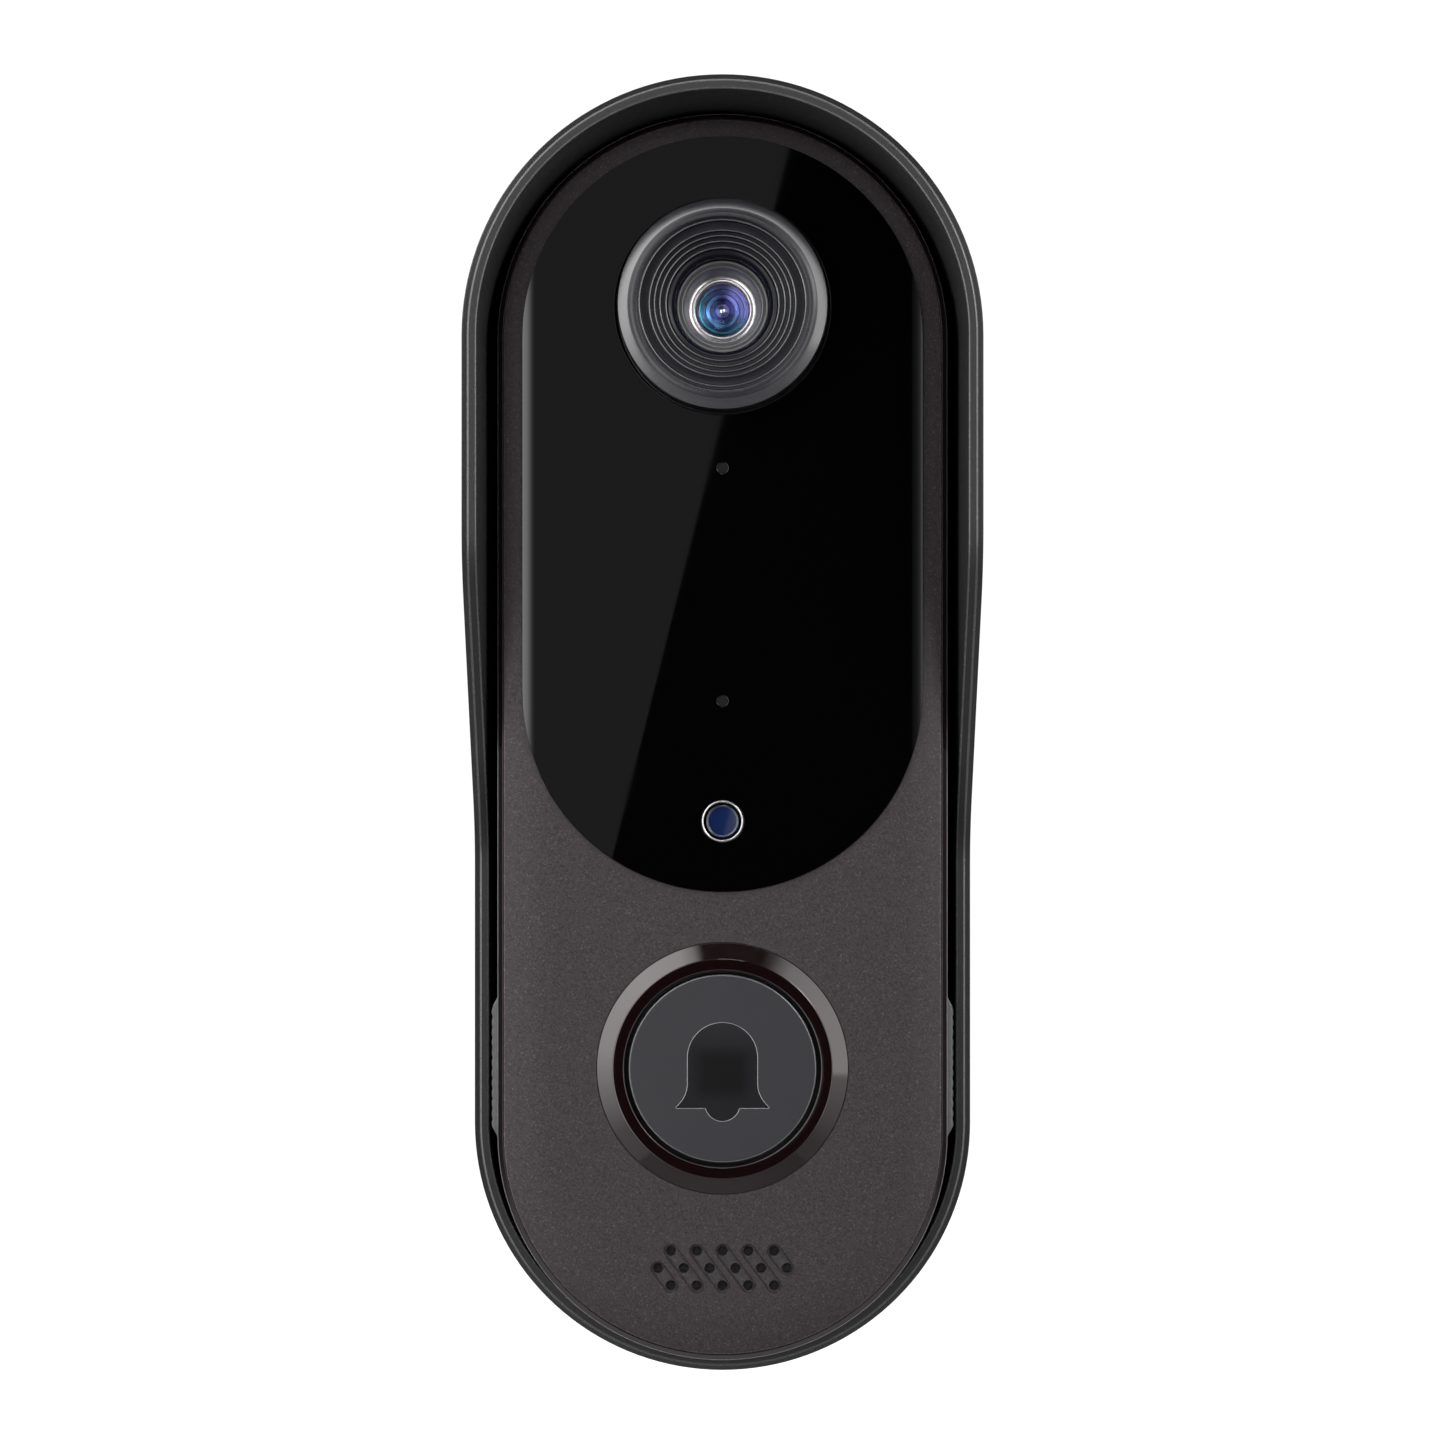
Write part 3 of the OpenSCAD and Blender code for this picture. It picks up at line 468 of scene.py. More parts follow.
def mesh_cloth():
    """Fine woven mesh."""
    paint = Paint("mesh_cloth", (0.008, 0.007, 0.008), 0.8)
    weave = None
    for direction in ("X", "Z"):
        wave = paint.node("ShaderNodeTexWave", Vector=paint.coordinates, Scale=1500.0)
        wave.bands_direction = direction
        weave = wave.outputs[1] if weave is None else paint.math("MULTIPLY", weave, wave.outputs[1])
    paint.bump(weave, 0.03)
    paint.color(paint.mix(weave, (0.003, 0.003, 0.003), (0.03, 0.028, 0.028)))


def cell_wrap():
    """The shrink wrap of a cell, with lengthways wrinkles."""
    paint = Paint("cell_wrap", (0.02, 0.12, 0.28), 0.32)
    wrinkles = paint.noise(160, 4, (1, 1, 5))
    paint.bump(wrinkles, 0.05)
    paint.color(paint.mix(wrinkles, (0.016, 0.1, 0.24), (0.03, 0.16, 0.34)))


def speaker_paper():
    paint = Paint("speaker_paper", (0.06, 0.05, 0.042), 0.9)
    fibres = paint.noise(1800, 5)
    paint.bump(fibres, 0.03)
    paint.color(paint.mix(fibres, (0.04, 0.034, 0.03), (0.09, 0.075, 0.062)))


hood_plastic = moulded("hood_plastic", (0.0115, 0.0116, 0.0116), 0.44, 0.28, 0.02, IOR=1.36)
# The rim's two rounded edges: a lighter, glossier copy of the hood plastic, a painted highlight
hood_edge_highlight = moulded("hood_edge_highlight", (0.035, 0.0355, 0.0355), 0.24, 0.28, 0.002, IOR=1.65)
# The hood's inner wall: a slightly darker, duller copy of the hood plastic, painted shade
hood_inside_shaded = moulded("hood_inside_shaded", (0.011, 0.011, 0.011), 0.5, 0.28, 0.01)
grip_plastic = moulded("grip_plastic", (0.085, 0.086, 0.089), 0.5, 0.2, 0.012)
gloss_trim = gloss("gloss_trim", (0.0045, 0.0017, 0.0021), 0.05, IOR=1.65, Specular_Tint=(1, 0.93, 0.94, 1))
# Light grey for the very edge of the gloss shell: a painted highlight, the edge line round the front
trim_edge_highlight = satin("trim_edge_highlight", (0.14, 0.135, 0.14), 0.35)
bronze = bronze_paint("bronze_paint", (0.0215, 0.0165, 0.018))
# A lighter copy of the bronze for the plate's rounded rim: a painted highlight
bronze_edge_highlight = bronze_paint("bronze_edge_highlight", (0.05, 0.041, 0.044))
# A lighter, less sparkling copy of the bronze for the walls and floors of the grooves and holes: painted
# light that lifts the shade in them
groove_bronze_painted_light = bronze_paint("groove_paint_painted_light", (0.027, 0.023, 0.024), 0.2)
# Light grey gloss for the cap's bevel and the rib round the bell: a painted highlight
cap_edge_highlight = gloss("cap_edge_highlight", (0.1, 0.1, 0.105), 0.2, IOR=1.9)
glass_black = panel_glass()
bezel_plastic = satin("bezel_plastic", (0.0095, 0.0092, 0.0125), 0.19, IOR=1.9)
# A duller copy of the bezel plastic for the crest, which takes its highlight away: painted shade
bezel_crest_shaded = satin("bezel_crest_shaded", (0.009, 0.0088, 0.012), 0.28, IOR=1.48)
# A darker, less reflective copy of the bezel plastic for the ledges between the beads: painted shade
bezel_ledges_shaded = satin("bezel_ledges_shaded", (0.0035, 0.0033, 0.0052), 0.24, IOR=1.28)
barrel_plastic = satin("barrel_plastic", (0.06, 0.06, 0.06), 0.32, IOR=1.7)
silver = turned_metal("bright_metal", (0.66, 0.64, 0.66), 0.18, LENS_UP)


def make_inner_materials():
    """The materials that only CAD nodes wear. Each is named after its slot."""
    moulded("bracket_plastic", (0.04, 0.04, 0.042), 0.5)
    moulded("housing_plastic", (0.035, 0.037, 0.039), 0.48, 0.22, 0.012)
    moulded("chip_black", (0.014, 0.014, 0.016), 0.5, 0.1, 0.004)
    moulded("connector_nylon", (0.72, 0.69, 0.6), 0.45, 0.15, 0.004)
    moulded("key_plastic", (0.6, 0.6, 0.6), 0.42, 0.15, 0.004)
    gloss("led_resin", (0.75, 0.72, 0.58), 0.15)
    gloss("ribbon_film", (0.48, 0.22, 0.045), 0.22)
    plain_metal("screw_steel", (0.58, 0.58, 0.6), 0.28)
    plain_metal("contact_metal", (0.82, 0.62, 0.3), 0.22)
    plain_metal("shield_metal", (0.62, 0.62, 0.64), 0.34, (1, 1, 8))
    seal_rubber()
    circuit_board()
    mesh_cloth()
    cell_wrap()
    speaker_paper()


# Slots whose CAD nodes wear another slot's material
SHARED = {"black_glass": "panel_glass", "lens_glass": "panel_glass", "status_blue": "panel_glass",
          "button_plastic": "chip_black"}


def dress_cad_nodes():
    """Gives every CAD node the material of its slot."""
    for part in frame["record"]["subparts"]:
        mesh = frame["nodes"][part["node"]].data
        mesh.materials.clear()
        slot = part["material_slot"]
        mesh.materials.append(MATERIALS[SHARED.get(slot, slot)])


# ---- The rain hood ----

HOOD_WALL = 1.76
HOOD_FLOOR = 2.0
HOOD_DRAFT = 0.0135
HOOD_LOW = 23.0
RAMP_BOTTOM, RAMP_TOP = -15.0, 23.5
RAMP_EASE = 0.2
wall_screws = frame["record"]["mounts"][0]["dims"]
SCREW_SPACING, SCREW_HOLE_R = wall_screws["spacing_y_mm"], wall_screws["hole_r_mm"]
SERVICE_W, SERVICE_LOW, SERVICE_HIGH = 21.0, 9.5, 19.5


def rim_depth(up):
    """How far the hood's rim stands out at a height: low below, high above, and a ramp between."""
    t = min(max((up - RAMP_BOTTOM) / (RAMP_TOP - RAMP_BOTTOM), 0), 1)
    curve = 2 * RAMP_EASE * (1 - RAMP_EASE)
    if t < RAMP_EASE:
        share = t * t / curve
    elif t > 1 - RAMP_EASE:
        share = 1 - (1 - t) ** 2 / curve
    else:
        share = (t - RAMP_EASE / 2) / (1 - RAMP_EASE)
    return HOOD_LOW + share * (hood_high - HOOD_LOW)


def hood_profile(station):
    """The hood's wall at one station of its outline, from the back plate out, over the rim and in."""
    def wall_r(out):
        return HOOD_R - HOOD_DRAFT * (hood_high - out)
    top = rim_depth(station[1])
    chamfer_w, chamfer_h, plate_r = 0.72, 0.8, HOOD_R - 8
    corners = [
        (plate_r, 0), (wall_r(0), 0), (wall_r(top - chamfer_h), top - chamfer_h),
        (wall_r(top) - chamfer_w, top), (wall_r(top) - HOOD_WALL, top),
        (wall_r(HOOD_FLOOR) - HOOD_WALL, HOOD_FLOOR), (plate_r, HOOD_FLOOR)]
    return softened(corners, [0, 0.5, 0.3, 0.16, 0.22, 0.6, 0], steps=5)


# Along the profile: the back and outer wall, the two edges of the rim, painted lighter as highlights, and the
# inner wall, painted a little darker as shade
HOOD_SLOTS = [0] * 13 + [1] * 5 + [0] + [1] * 5 + [2] * 7


def cut_away(obj, cutters):
    """Cuts closed shapes out of obj."""
    obj.modifiers.clear()
    for i, cutter in enumerate(cutters):
        modifier = obj.modifiers.new(f"cut{i}", "BOOLEAN")
        modifier.operation = "DIFFERENCE"
        modifier.solver = "EXACT"
        modifier.object = cutter
    evaluated = obj.evaluated_get(bpy.context.evaluated_depsgraph_get())
    mesh = bpy.data.meshes.new_from_object(evaluated)
    obj.modifiers.clear()
    obj.data = mesh
    mesh.set_sharp_from_angle(angle=math.radians(32))
    keep_flats_flat(obj)
    for cutter in cutters:
        bpy.data.objects.remove(cutter)


def cutter(name, bm, materials=()):
    bmesh.ops.recalc_face_normals(bm, faces=bm.faces)
    return solid(name, bm, materials)


def make_hood():
    bm = bmesh.new()
    outline = capsule((0, -HOOD_HALF), (0, HOOD_HALF), 72, 90)
    rows = add_sweep(bm, outline, hood_profile, slot=HOOD_SLOTS)
    close_ends(bm, rows, 0, 2)
    finishes = [hood_plastic, hood_edge_highlight, hood_inside_shaded]
    hood = piece("hood", bm, finishes, ["rain_hood"], body="wall_mount")
    cutters = []
    for side in (-1, 1):
        drill = bmesh.new()
        up = side * SCREW_SPACING / 2
        line = [(SCREW_HOLE_R, -1), (SCREW_HOLE_R, HOOD_FLOOR + 1)]
        close_ends(drill, add_sweep(drill, circle(0, up, 24), line))
        cutters.append(cutter(f"drill_{side}", drill))
    service = bmesh.new()
    half = SERVICE_W / 2
    corners = [(-half, SERVICE_LOW), (half, SERVICE_LOW), (half, SERVICE_HIGH), (-half, SERVICE_HIGH)]
    corners = softened(corners, 1.2, steps=5, closed=True)
    rings = [[service.verts.new(at(x, up, out)) for x, out in corners]
             for up in (hood_bottom - 3, hood_bottom + 6)]
    for i in range(len(corners)):
        k = (i + 1) % len(corners)
        service.faces.new((rings[0][i], rings[0][k], rings[1][k], rings[1][i]))
    for ring in rings:
        service.faces.new(ring)
    cutters.append(cutter("service_cut", service))
    cut_away(hood, cutters)


# ---- The doorbell's front ----

TRIM_W = 0.63
WALL = 1.8


def paint_rim(obj, r, front, slot):
    """Gives a material slot to the faces that lie outside a radius and in front of a plane."""
    for polygon in obj.data.polygons:
        center = polygon.center
        past_end = max(abs(center.z) - BODY_HALF * MM, 0)
        if math.hypot(center.x, past_end) > r * MM and -center.y > front * MM:
            polygon.material_index = slot


def make_trim():
    """The gloss shell: its side wall, the chamfer round the front, and the ledge under the plate."""
    bm = bmesh.new()
    outline = capsule((0, -BODY_HALF), (0, BODY_HALF), 72, 12)
    inner = plate_right + 0.05
    inside_r, ledge_r = BODY_R - WALL, inner - 2.4
    corners = [
        (inside_r, shell_back), (BODY_R, shell_back), (BODY_R, TRIM_FRONT - TRIM_W),
        (BODY_R - TRIM_W, TRIM_FRONT), (inner, TRIM_FRONT), (inner, plate_back),
        (ledge_r, plate_back), (ledge_r, plate_back - 1.6), (inside_r, plate_back - 1.8)]
    profile = softened(corners, [0, 0.2, 0.14, 0.2, 0.02, 0, 0, 0, 0.3], steps=6, closed=True)
    add_sweep(bm, outline, profile, closed=True)
    trim = piece("trim_shell", bm, [gloss_trim, trim_edge_highlight], ["front_shell"])
    # The outermost rounding of the shell's front edge gets the light grey: a painted highlight
    paint_rim(trim, BODY_R - 0.11, TRIM_FRONT - TRIM_W - 0.14, 1)


GRILLE_UP = -61.3
GRILLE_PITCH, GRILLE_ROW = 2.98, 2.0
GRILLE_HOLE_R, GRILLE_GROOVE_R = 0.55, 0.775
GRILLE_SINK = 0.5
# Each groove: its first column, its first row, and how many holes it has after the first
GRILLE = [(-2.5, 0, 1), (-2, 1, 2), (-1, 1, 2), (0, 1, 2), (1, 1, 2), (2, 1, 1)]

PLATE_SLOPE_W = 5.5


def flared_cutter(bm, outline, r, low, high, flare, slots):
    """A closed shape that cuts a hole from low to high and takes the sharpness off its mouth."""
    line = [(r, low), (r, high - flare), (r + flare, high), (r + flare + 0.3, high + 0.3)]
    rows = add_sweep(bm, outline, line, slot=slots)
    close_ends(bm, rows, slots[0], slots[0])


def make_plate():
    """The painted plate: nearly flat, falling back towards its edge, with grooves sunk for the speaker."""
    bm = bmesh.new()
    fall = FACE - TRIM_FRONT
    inner = plate_right - PLATE_SLOPE_W
    slope = [(inner + PLATE_SLOPE_W * t, FACE - fall * t * t) for t in [i / 14 for i in range(15)]]
    corners = [(plate_right, plate_back), (plate_right, TRIM_FRONT), slope[-2]]
    edge = softened(corners, [0, 0.16, 0], steps=4)
    rows = add_sweep(bm, capsule((0, -BODY_HALF), (0, BODY_HALF), 72, 24), edge[:-1] + slope[-2::-1])
    close_ends(bm, rows)
    # Slot 1 is the grooves' lighter copy, painted light; slot 2 the rim's lighter copy, a painted highlight
    paints = [bronze, groove_bronze_painted_light, bronze_edge_highlight]
    plate = piece("face_plate", bm, paints, ["faceplate"])
    # The plate's rounded rim gets the lighter bronze: a painted highlight along the edge
    paint_rim(plate, plate_right - 0.17, TRIM_FRONT - 0.2, 2)

    openings, holes = bmesh.new(), bmesh.new()
    under, floor, gap = plate_back - 1, FACE - GRILLE_SINK, 0.05
    glass = capsule((0, PANEL_MID - PANEL_HALF), (0, PANEL_MID + PANEL_HALF), 64)
    flared_cutter(openings, glass, PANEL_R + gap, under, FACE, 0.04, [0, 0, 0])
    flared_cutter(openings, circle(0, BUTTON_UP), BUTTON_RING_R + gap, under, FACE, 0.05, [0, 0, 0])
    for column, row, count in GRILLE:
        spots = [((column + i / 2) * GRILLE_PITCH, GRILLE_UP + (row - i) * GRILLE_ROW)
                 for i in range(count + 1)]
        groove = capsule(spots[0], spots[-1], 16)
        flared_cutter(openings, groove, GRILLE_GROOVE_R, floor, FACE, 0.09, [1, 0, 0])
        for x, z in spots:
            flared_cutter(holes, circle(x, z, 14), GRILLE_HOLE_R, under, floor, 0.07, [1, 0, 0])
    cut_away(plate, [cutter("openings", openings, paints), cutter("holes", holes, paints)])


# How wide the rolled edges are, how far they fall, and the radii of the holes
PANEL_ROLL, PANEL_DROP = 1.45, 0.08
LENS_HOLE_R, DOT_R = 12.47, 0.635


def make_panel():
    """The glass: flat, with its left and right edges rolled off, and holes for what looks through it."""
    bm = bmesh.new()
    flat = PANEL_R - PANEL_ROLL

    def top_of(x):
        return PANEL_MID + PANEL_HALF + math.sqrt(max(PANEL_R ** 2 - x * x, 0))

    def front_of(x):
        t = max(abs(x) - flat, 0) / PANEL_ROLL
        return PANEL_FRONT - PANEL_DROP * t * t
    middle = [flat * math.sin(math.pi * i / 96) for i in range(-48, 49)]
    edges = [flat + PANEL_ROLL * i / 24 for i in range(1, 25)]
    columns = [-x for x in reversed(edges)] + middle + edges

    def column(x):
        up = top_of(x)
        low = 2 * PANEL_MID - up
        return [bm.verts.new(at(x, z, out)) for z, out in
                ((low, panel_back), (low, front_of(x)), (up, front_of(x)), (up, panel_back))]
    made = [column(x) for x in columns]
    for i, (a, b) in enumerate(zip(made, made[1:])):
        bm.faces.new((a[0], b[0], b[1], a[1]))
        bm.faces.new((a[2], b[2], b[3], a[3]))
        if not len(edges) <= i < len(edges) + len(middle) - 1:
            bm.faces.new((a[1], b[1], b[2], a[2]))
    for ends in (made[0], made[-1]):
        bm.faces.new(ends)
    front = made[len(edges):len(edges) + len(middle)]
    loop = [c[1] for c in front] + [c[2] for c in reversed(front)]
    hole_loops = []
    for up, r in ((LENS_UP, LENS_HOLE_R), (SENSOR_UP, DOT_R), (MIC_UP, DOT_R),
                  (STATUS_UP, status_r + 0.05)):
        line = softened([(r, panel_back), (r, PANEL_FRONT), (r + 0.07, PANEL_FRONT)], [0, 0.06, 0], steps=3)
        rows = add_sweep(bm, circle(0, up, 48), line)
        hole_loops.append([row[-1] for row in rows])
    add_fill(bm, [loop] + hole_loops)
    piece("glass_panel", bm, glass_black, ["lens_panel"], sharp=20)


def make_dots():
    """The light sensor's window and the microphone's gauze, just below the face of the glass."""
    r, front = DOT_R - 0.005, PANEL_FRONT - 0.1
    corners = [(0, front), (r - 0.06, front), (r, front - 0.06), (r, panel_back)]
    for name, up in (("sensor_window", SENSOR_UP), ("mic_gauze", MIC_UP)):
        dark = moulded(name, (0.006, 0.006, 0.0064), 0.6, 0.08, 0.002, IOR=1.15)
        piece(name, turned(up, corners, sides=24), dark)


# ---- The camera ----

BEZEL_R = 12.05
BORE_R = 5.4
RIDGES = [9.45, 8.3, 7.72, 7.1, 6.4]
RIDGE_DROP = 0.34


def make_bezel():
    """The raised ring round the lens: a bright shoulder, a crest, and ledges that step down inside,
    each with a fine bead along its edge."""
    crest = BEZEL_FRONT
    corners = [(BORE_R, bezel_back), (bezel_flange_r, bezel_back), (bezel_flange_r, bezel_back + 0.8),
               (BEZEL_R, bezel_back + 0.8), (BEZEL_R, crest - 0.66), (BEZEL_R - 1.3, crest - 0.1),
               (BEZEL_R - 1.75, crest), (BEZEL_R - 2.2, crest - 0.03)]
    reach = [0, 0, 0, 0, 0.1, 0.5, 0.3, 0.2]
    for i, r in enumerate(RIDGES):
        level = crest - 0.16 - RIDGE_DROP * i
        corners += [(r + 0.2, level - 0.02), (r + 0.12, level + 0.08), (r, level + 0.08),
                    (r - 0.1, level - RIDGE_DROP)]
        reach += [0.05, 0.06, 0.06, 0.05]
    corners += [(BORE_R + 0.82, PANEL_FRONT + 2.52), (BORE_R + 0.35, PANEL_FRONT + 2.42),
                (BORE_R, PANEL_FRONT + 1.7)]
    reach += [0.25, 0.4, 0.4]
    bm = turned(LENS_UP, corners, reach, sides=96, closed=True)
    finishes = [bezel_plastic, bezel_ledges_shaded, bezel_crest_shaded]
    bezel = piece("camera_bezel", bm, finishes, ["lens_bezel"], sharp=50)
    # The ledges between the beads get the darker copy and the crest the duller one: painted shade
    for polygon, r in with_radius(bezel, LENS_UP):
        on_bead = any(-0.02 < r - ridge < 0.2 for ridge in RIDGES)
        if r < RIDGES[0] + 0.5 and not on_bead:
            polygon.material_index = 1
        elif RIDGES[0] + 0.2 < r < BEZEL_R - 1.15:
            polygon.material_index = 2


def make_barrel():
    """The barrel, with a stepped cone down to the lens, and the bright ring that holds the glass."""
    rim = barrel_front
    r = barrel_r
    corners = [(r, rim - 3), (r, rim), (r - 0.25, rim), (r - 0.6, rim - 0.6), (r - 0.75, rim - 0.65),
               (ring_outer + 0.5, rim - 1.4), (ring_outer + 0.42, rim - 1.75), (ring_outer, lens_front + 0.5),
               (ring_outer, lens_back), (2.6, lens_back), (2.6, barrel_back), (4, barrel_back),
               (4, rim - 7), (r, rim - 7)]
    reach = [0, 0.06, 0.06, 0.1, 0.06, 0.1, 0.1, 0.05, 0, 0, 0, 0, 0, 0]
    bm = turned(LENS_UP, corners, reach, 3, closed=True)
    piece("lens_tube", bm, barrel_plastic, ["lens_barrel"], sharp=40)

    r, front = ring_outer, lens_front
    corners = [(r, ring_back), (r, front + 0.4), (r - 0.09, front + 0.4),
               (r - 0.13, front - 0.05), (r - 0.36, front - 0.1), (r - 0.4, front + 0.3),
               (glass_r + 0.16, front + 0.3), (glass_r + 0.12, front - 0.3),
               (glass_r + 0.02, front - 0.35), (glass_r + 0.02, ring_back)]
    reach = [0, 0.05, 0.05, 0.02, 0.03, 0.1, 0.1, 0.02, 0.02, 0]
    bm = turned(LENS_UP, corners, reach, closed=True)
    piece("lens_ring", bm, silver, ["lens_retaining_ring"], sharp=50)


def coated_glass():
    """The front element: clear, with a coating that tints what it mirrors blue."""
    paint = Paint("coated_glass", (0.85, 0.93, 1.0), 0.0, IOR=1.3, Transmission_Weight=1.0)
    paint.set("Specular Tint", (0.35, 0.6, 1.0, 1))
    paint.rough(paint.remap(paint.noise(900, 2), 0.3, 0.7, 0.0, 0.01))
    return paint.material


def painted_lens_reflections(name, stops, roughness, metallic):
    """The steps inside the lens, blued like coated glass, with a violet cast up and to the right; the rings
    of colour and the violet cast are painted reflections.
    """
    paint = Paint(name, (0.02, 0.06, 0.12), roughness, metallic=metallic)
    rings = paint.ramp(paint.remap(paint.from_axis(LENS_UP), 0, glass_r, 0.0, 1.0), stops)
    axes = paint.axes()
    across, up = axes[0], paint.math("SUBTRACT", axes[2], LENS_UP * MM)
    # Painted reflection: violet towards the upper right
    slant = paint.math("ADD", across, up)
    violet = paint.remap(slant, 0.0, 2.0 * MM, 0.0, 0.5)
    cast = paint.mix(violet, rings, (0.3, 0.16, 0.6))
    # Wedges of shadow, as the blades and flats behind the glass leave them
    around = paint.math("ARCTAN2", up, across)
    wedge = paint.math("SINE", paint.math("MULTIPLY_ADD", around, 2.0, 0.6))
    wedge = paint.remap(wedge, -0.25, 0.25, 0.55, 0.0)
    paint.color(paint.mix(wedge, cast, (0.004, 0.012, 0.03)))
    paint.rough(paint.remap(paint.noise(900, 2), 0.3, 0.7, roughness * 0.95, roughness * 1.05))
    return paint.material


# Colours of the rings by distance from the axis: painted reflections of coated glass
LENS_REFLECTION_STOPS = [(0.0, (0.2, 0.2, 0.7)), (0.22, (0.45, 0.36, 0.95)), (0.27, (0.04, 0.04, 0.2)),
              (0.4, (0.16, 0.2, 0.62)), (0.45, (0.012, 0.02, 0.09)), (0.6, (0.14, 0.34, 0.7)),
              (0.64, (0.01, 0.03, 0.07)), (0.76, (0.02, 0.07, 0.13)), (0.84, (0.08, 0.4, 0.52)),
              (0.9, (0.004, 0.016, 0.028))]
# The core's near-white middle: a painted highlight, on top of the lamps' real reflections in it
CORE_HIGHLIGHT_STOPS = [(0.0, (0.95, 0.93, 1.0)), (0.2, (0.7, 0.62, 0.98))]


def dome(r, low, high, bulge, steps=14):
    """A lens's profile: a disc from low to high with a spherical front that rises by bulge."""
    ball = (r * r + bulge * bulge) / (2 * bulge)
    widest = math.asin(r / ball)
    angles = [widest * (1 - i / steps) for i in range(steps + 1)]
    arc = [(ball * math.sin(angle), high + bulge - ball * (1 - math.cos(angle))) for angle in angles]
    return [(0, low), (r, low)] + arc


def make_lens():
    """The domed front glass, the steps and the second lens behind it, and a small bright lens within, bright
    partly from real reflections of the lamps and partly from a painted near-white highlight.
    """
    bm = turned(LENS_UP, dome(glass_r, lens_front - 0.9, lens_front - 0.7, 0.7))
    piece("front_glass", bm, coated_glass(), ["front_lens"], sharp=50)

    inner_r, inner_depth = 1.28, 1.95
    steps = [(glass_r - 0.02, 0.95), (2.5, 1.0), (2.42, 1.25), (1.9, 1.3), (1.82, 1.6),
             (1.35, 1.66), (inner_r, inner_depth)]
    profile = softened([(r, lens_front - depth) for r, depth in steps], 0.04, steps=3)
    inner = dome(inner_r, lens_front - 2.3, lens_front - inner_depth, 0.62)
    rings = painted_lens_reflections("painted_lens_reflections", LENS_REFLECTION_STOPS, 0.32, 0.55)
    bm = turned(LENS_UP, profile + inner[2:])
    piece("lens_steps", bm, rings, sharp=40)

    core = painted_lens_reflections("lens_core_painted_highlight", CORE_HIGHLIGHT_STOPS, 0.06, 0.9)
    bm = turned(LENS_UP, dome(0.6, lens_front - 1.6, lens_front - 1.4, 0.3), sides=32)
    piece("lens_core", bm, core, sharp=40)


# ---- The button ----

CREST_R, TUBE_R, LIP_R, CAP_R = 12.65, 12.9, 11.42, 10.85


def make_button_ring():
    """The gloss ring: a chamfer up to a flat crest, and a tube that goes back through the plate."""
    bore = LIP_R - 0.12
    corners = [(bore, ring_back_out), (TUBE_R, ring_back_out), (TUBE_R, plate_back),
               (BUTTON_RING_R, plate_back), (BUTTON_RING_R, FACE + 0.05), (CREST_R, BUTTON_CREST),
               (LIP_R, BUTTON_CREST - 0.02), (bore, BUTTON_CREST - 0.14)]
    reach = [0, 0, 0, 0, 0.03, 0.08, 0.05, 0.05]
    bm = turned(BUTTON_UP, corners, reach, 4, 96, closed=True)
    piece("button_surround", bm, gloss_trim, ["button_ring"], sharp=25)


def bell_outline():
    """A bell, generic as the symbol on any doorbell: dome, flared foot and half-round clapper."""
    half, base, top, shoulder, foot = 4.05, 5.4, 5.3, -1.9, -4.6
    clapper_r, clapper_low = 2.05, -6.1
    angles = [math.pi * i / 32 for i in range(33)]
    arch = [(half * math.cos(angle), top - half + half * math.sin(angle)) for angle in angles]
    ends = [(-half, shoulder), (-half - 0.1, shoulder - 1.5), (-base, foot + 0.12)]
    middle = clapper_low + clapper_r
    opening = math.asin((foot - middle) / clapper_r)
    side = ends[:1] + [bend(*ends, k / 10) for k in range(1, 11)]
    side += [(-base + 0.1, foot), (-clapper_r * math.cos(opening) - 0.3, foot)]
    angles = [math.pi - opening + (math.pi + 2 * opening) * i / 24 for i in range(25)]
    clapper = [(clapper_r * math.cos(angle), middle + clapper_r * math.sin(angle)) for angle in angles]
    points = arch + side + clapper + [(-x, z) for x, z in reversed(side)]
    return drawn([(x, BUTTON_UP + z) for x, z in points])


def smoky_plastic(name, dark):
    """The cap's slightly see-through plastic: the switch behind it shows as a soft dark square."""
    color = (0.0165, 0.0165, 0.0198)
    paint = Paint(name, color, 0.34, IOR=1.4 if dark == 1 else 1.22)
    grain = paint.noise(5200, 3)
    paint.bump(grain, 0.003)
    cloud = paint.noise(220, 3)
    base = paint.mix(cloud, shade(color, 0.86 * dark), shade(color, 1.1 * dark))
    axes = paint.axes()
    inside = None
    for axis, middle, reach in ((0, 0, 2.95), (2, BUTTON_UP - 0.6, 2.7)):
        away = paint.math("ABSOLUTE", paint.math("SUBTRACT", axes[axis], middle * MM))
        near = paint.remap(away, (reach - 0.9) * MM, (reach + 0.7) * MM, 1.0, 0.0)
        inside = near if inside is None else paint.math("MULTIPLY", inside, near)
    if dark < 1:
        fade = paint.remap(axes[2], (BUTTON_UP + 1.5) * MM, (BUTTON_UP + 5.5) * MM, 0.0, 1.0)
        base = paint.mix(fade, base, shade(color, 0.75))
        base = paint.mix(inside, base, shade(color, 0.12))
    paint.color(base)
    return paint.material


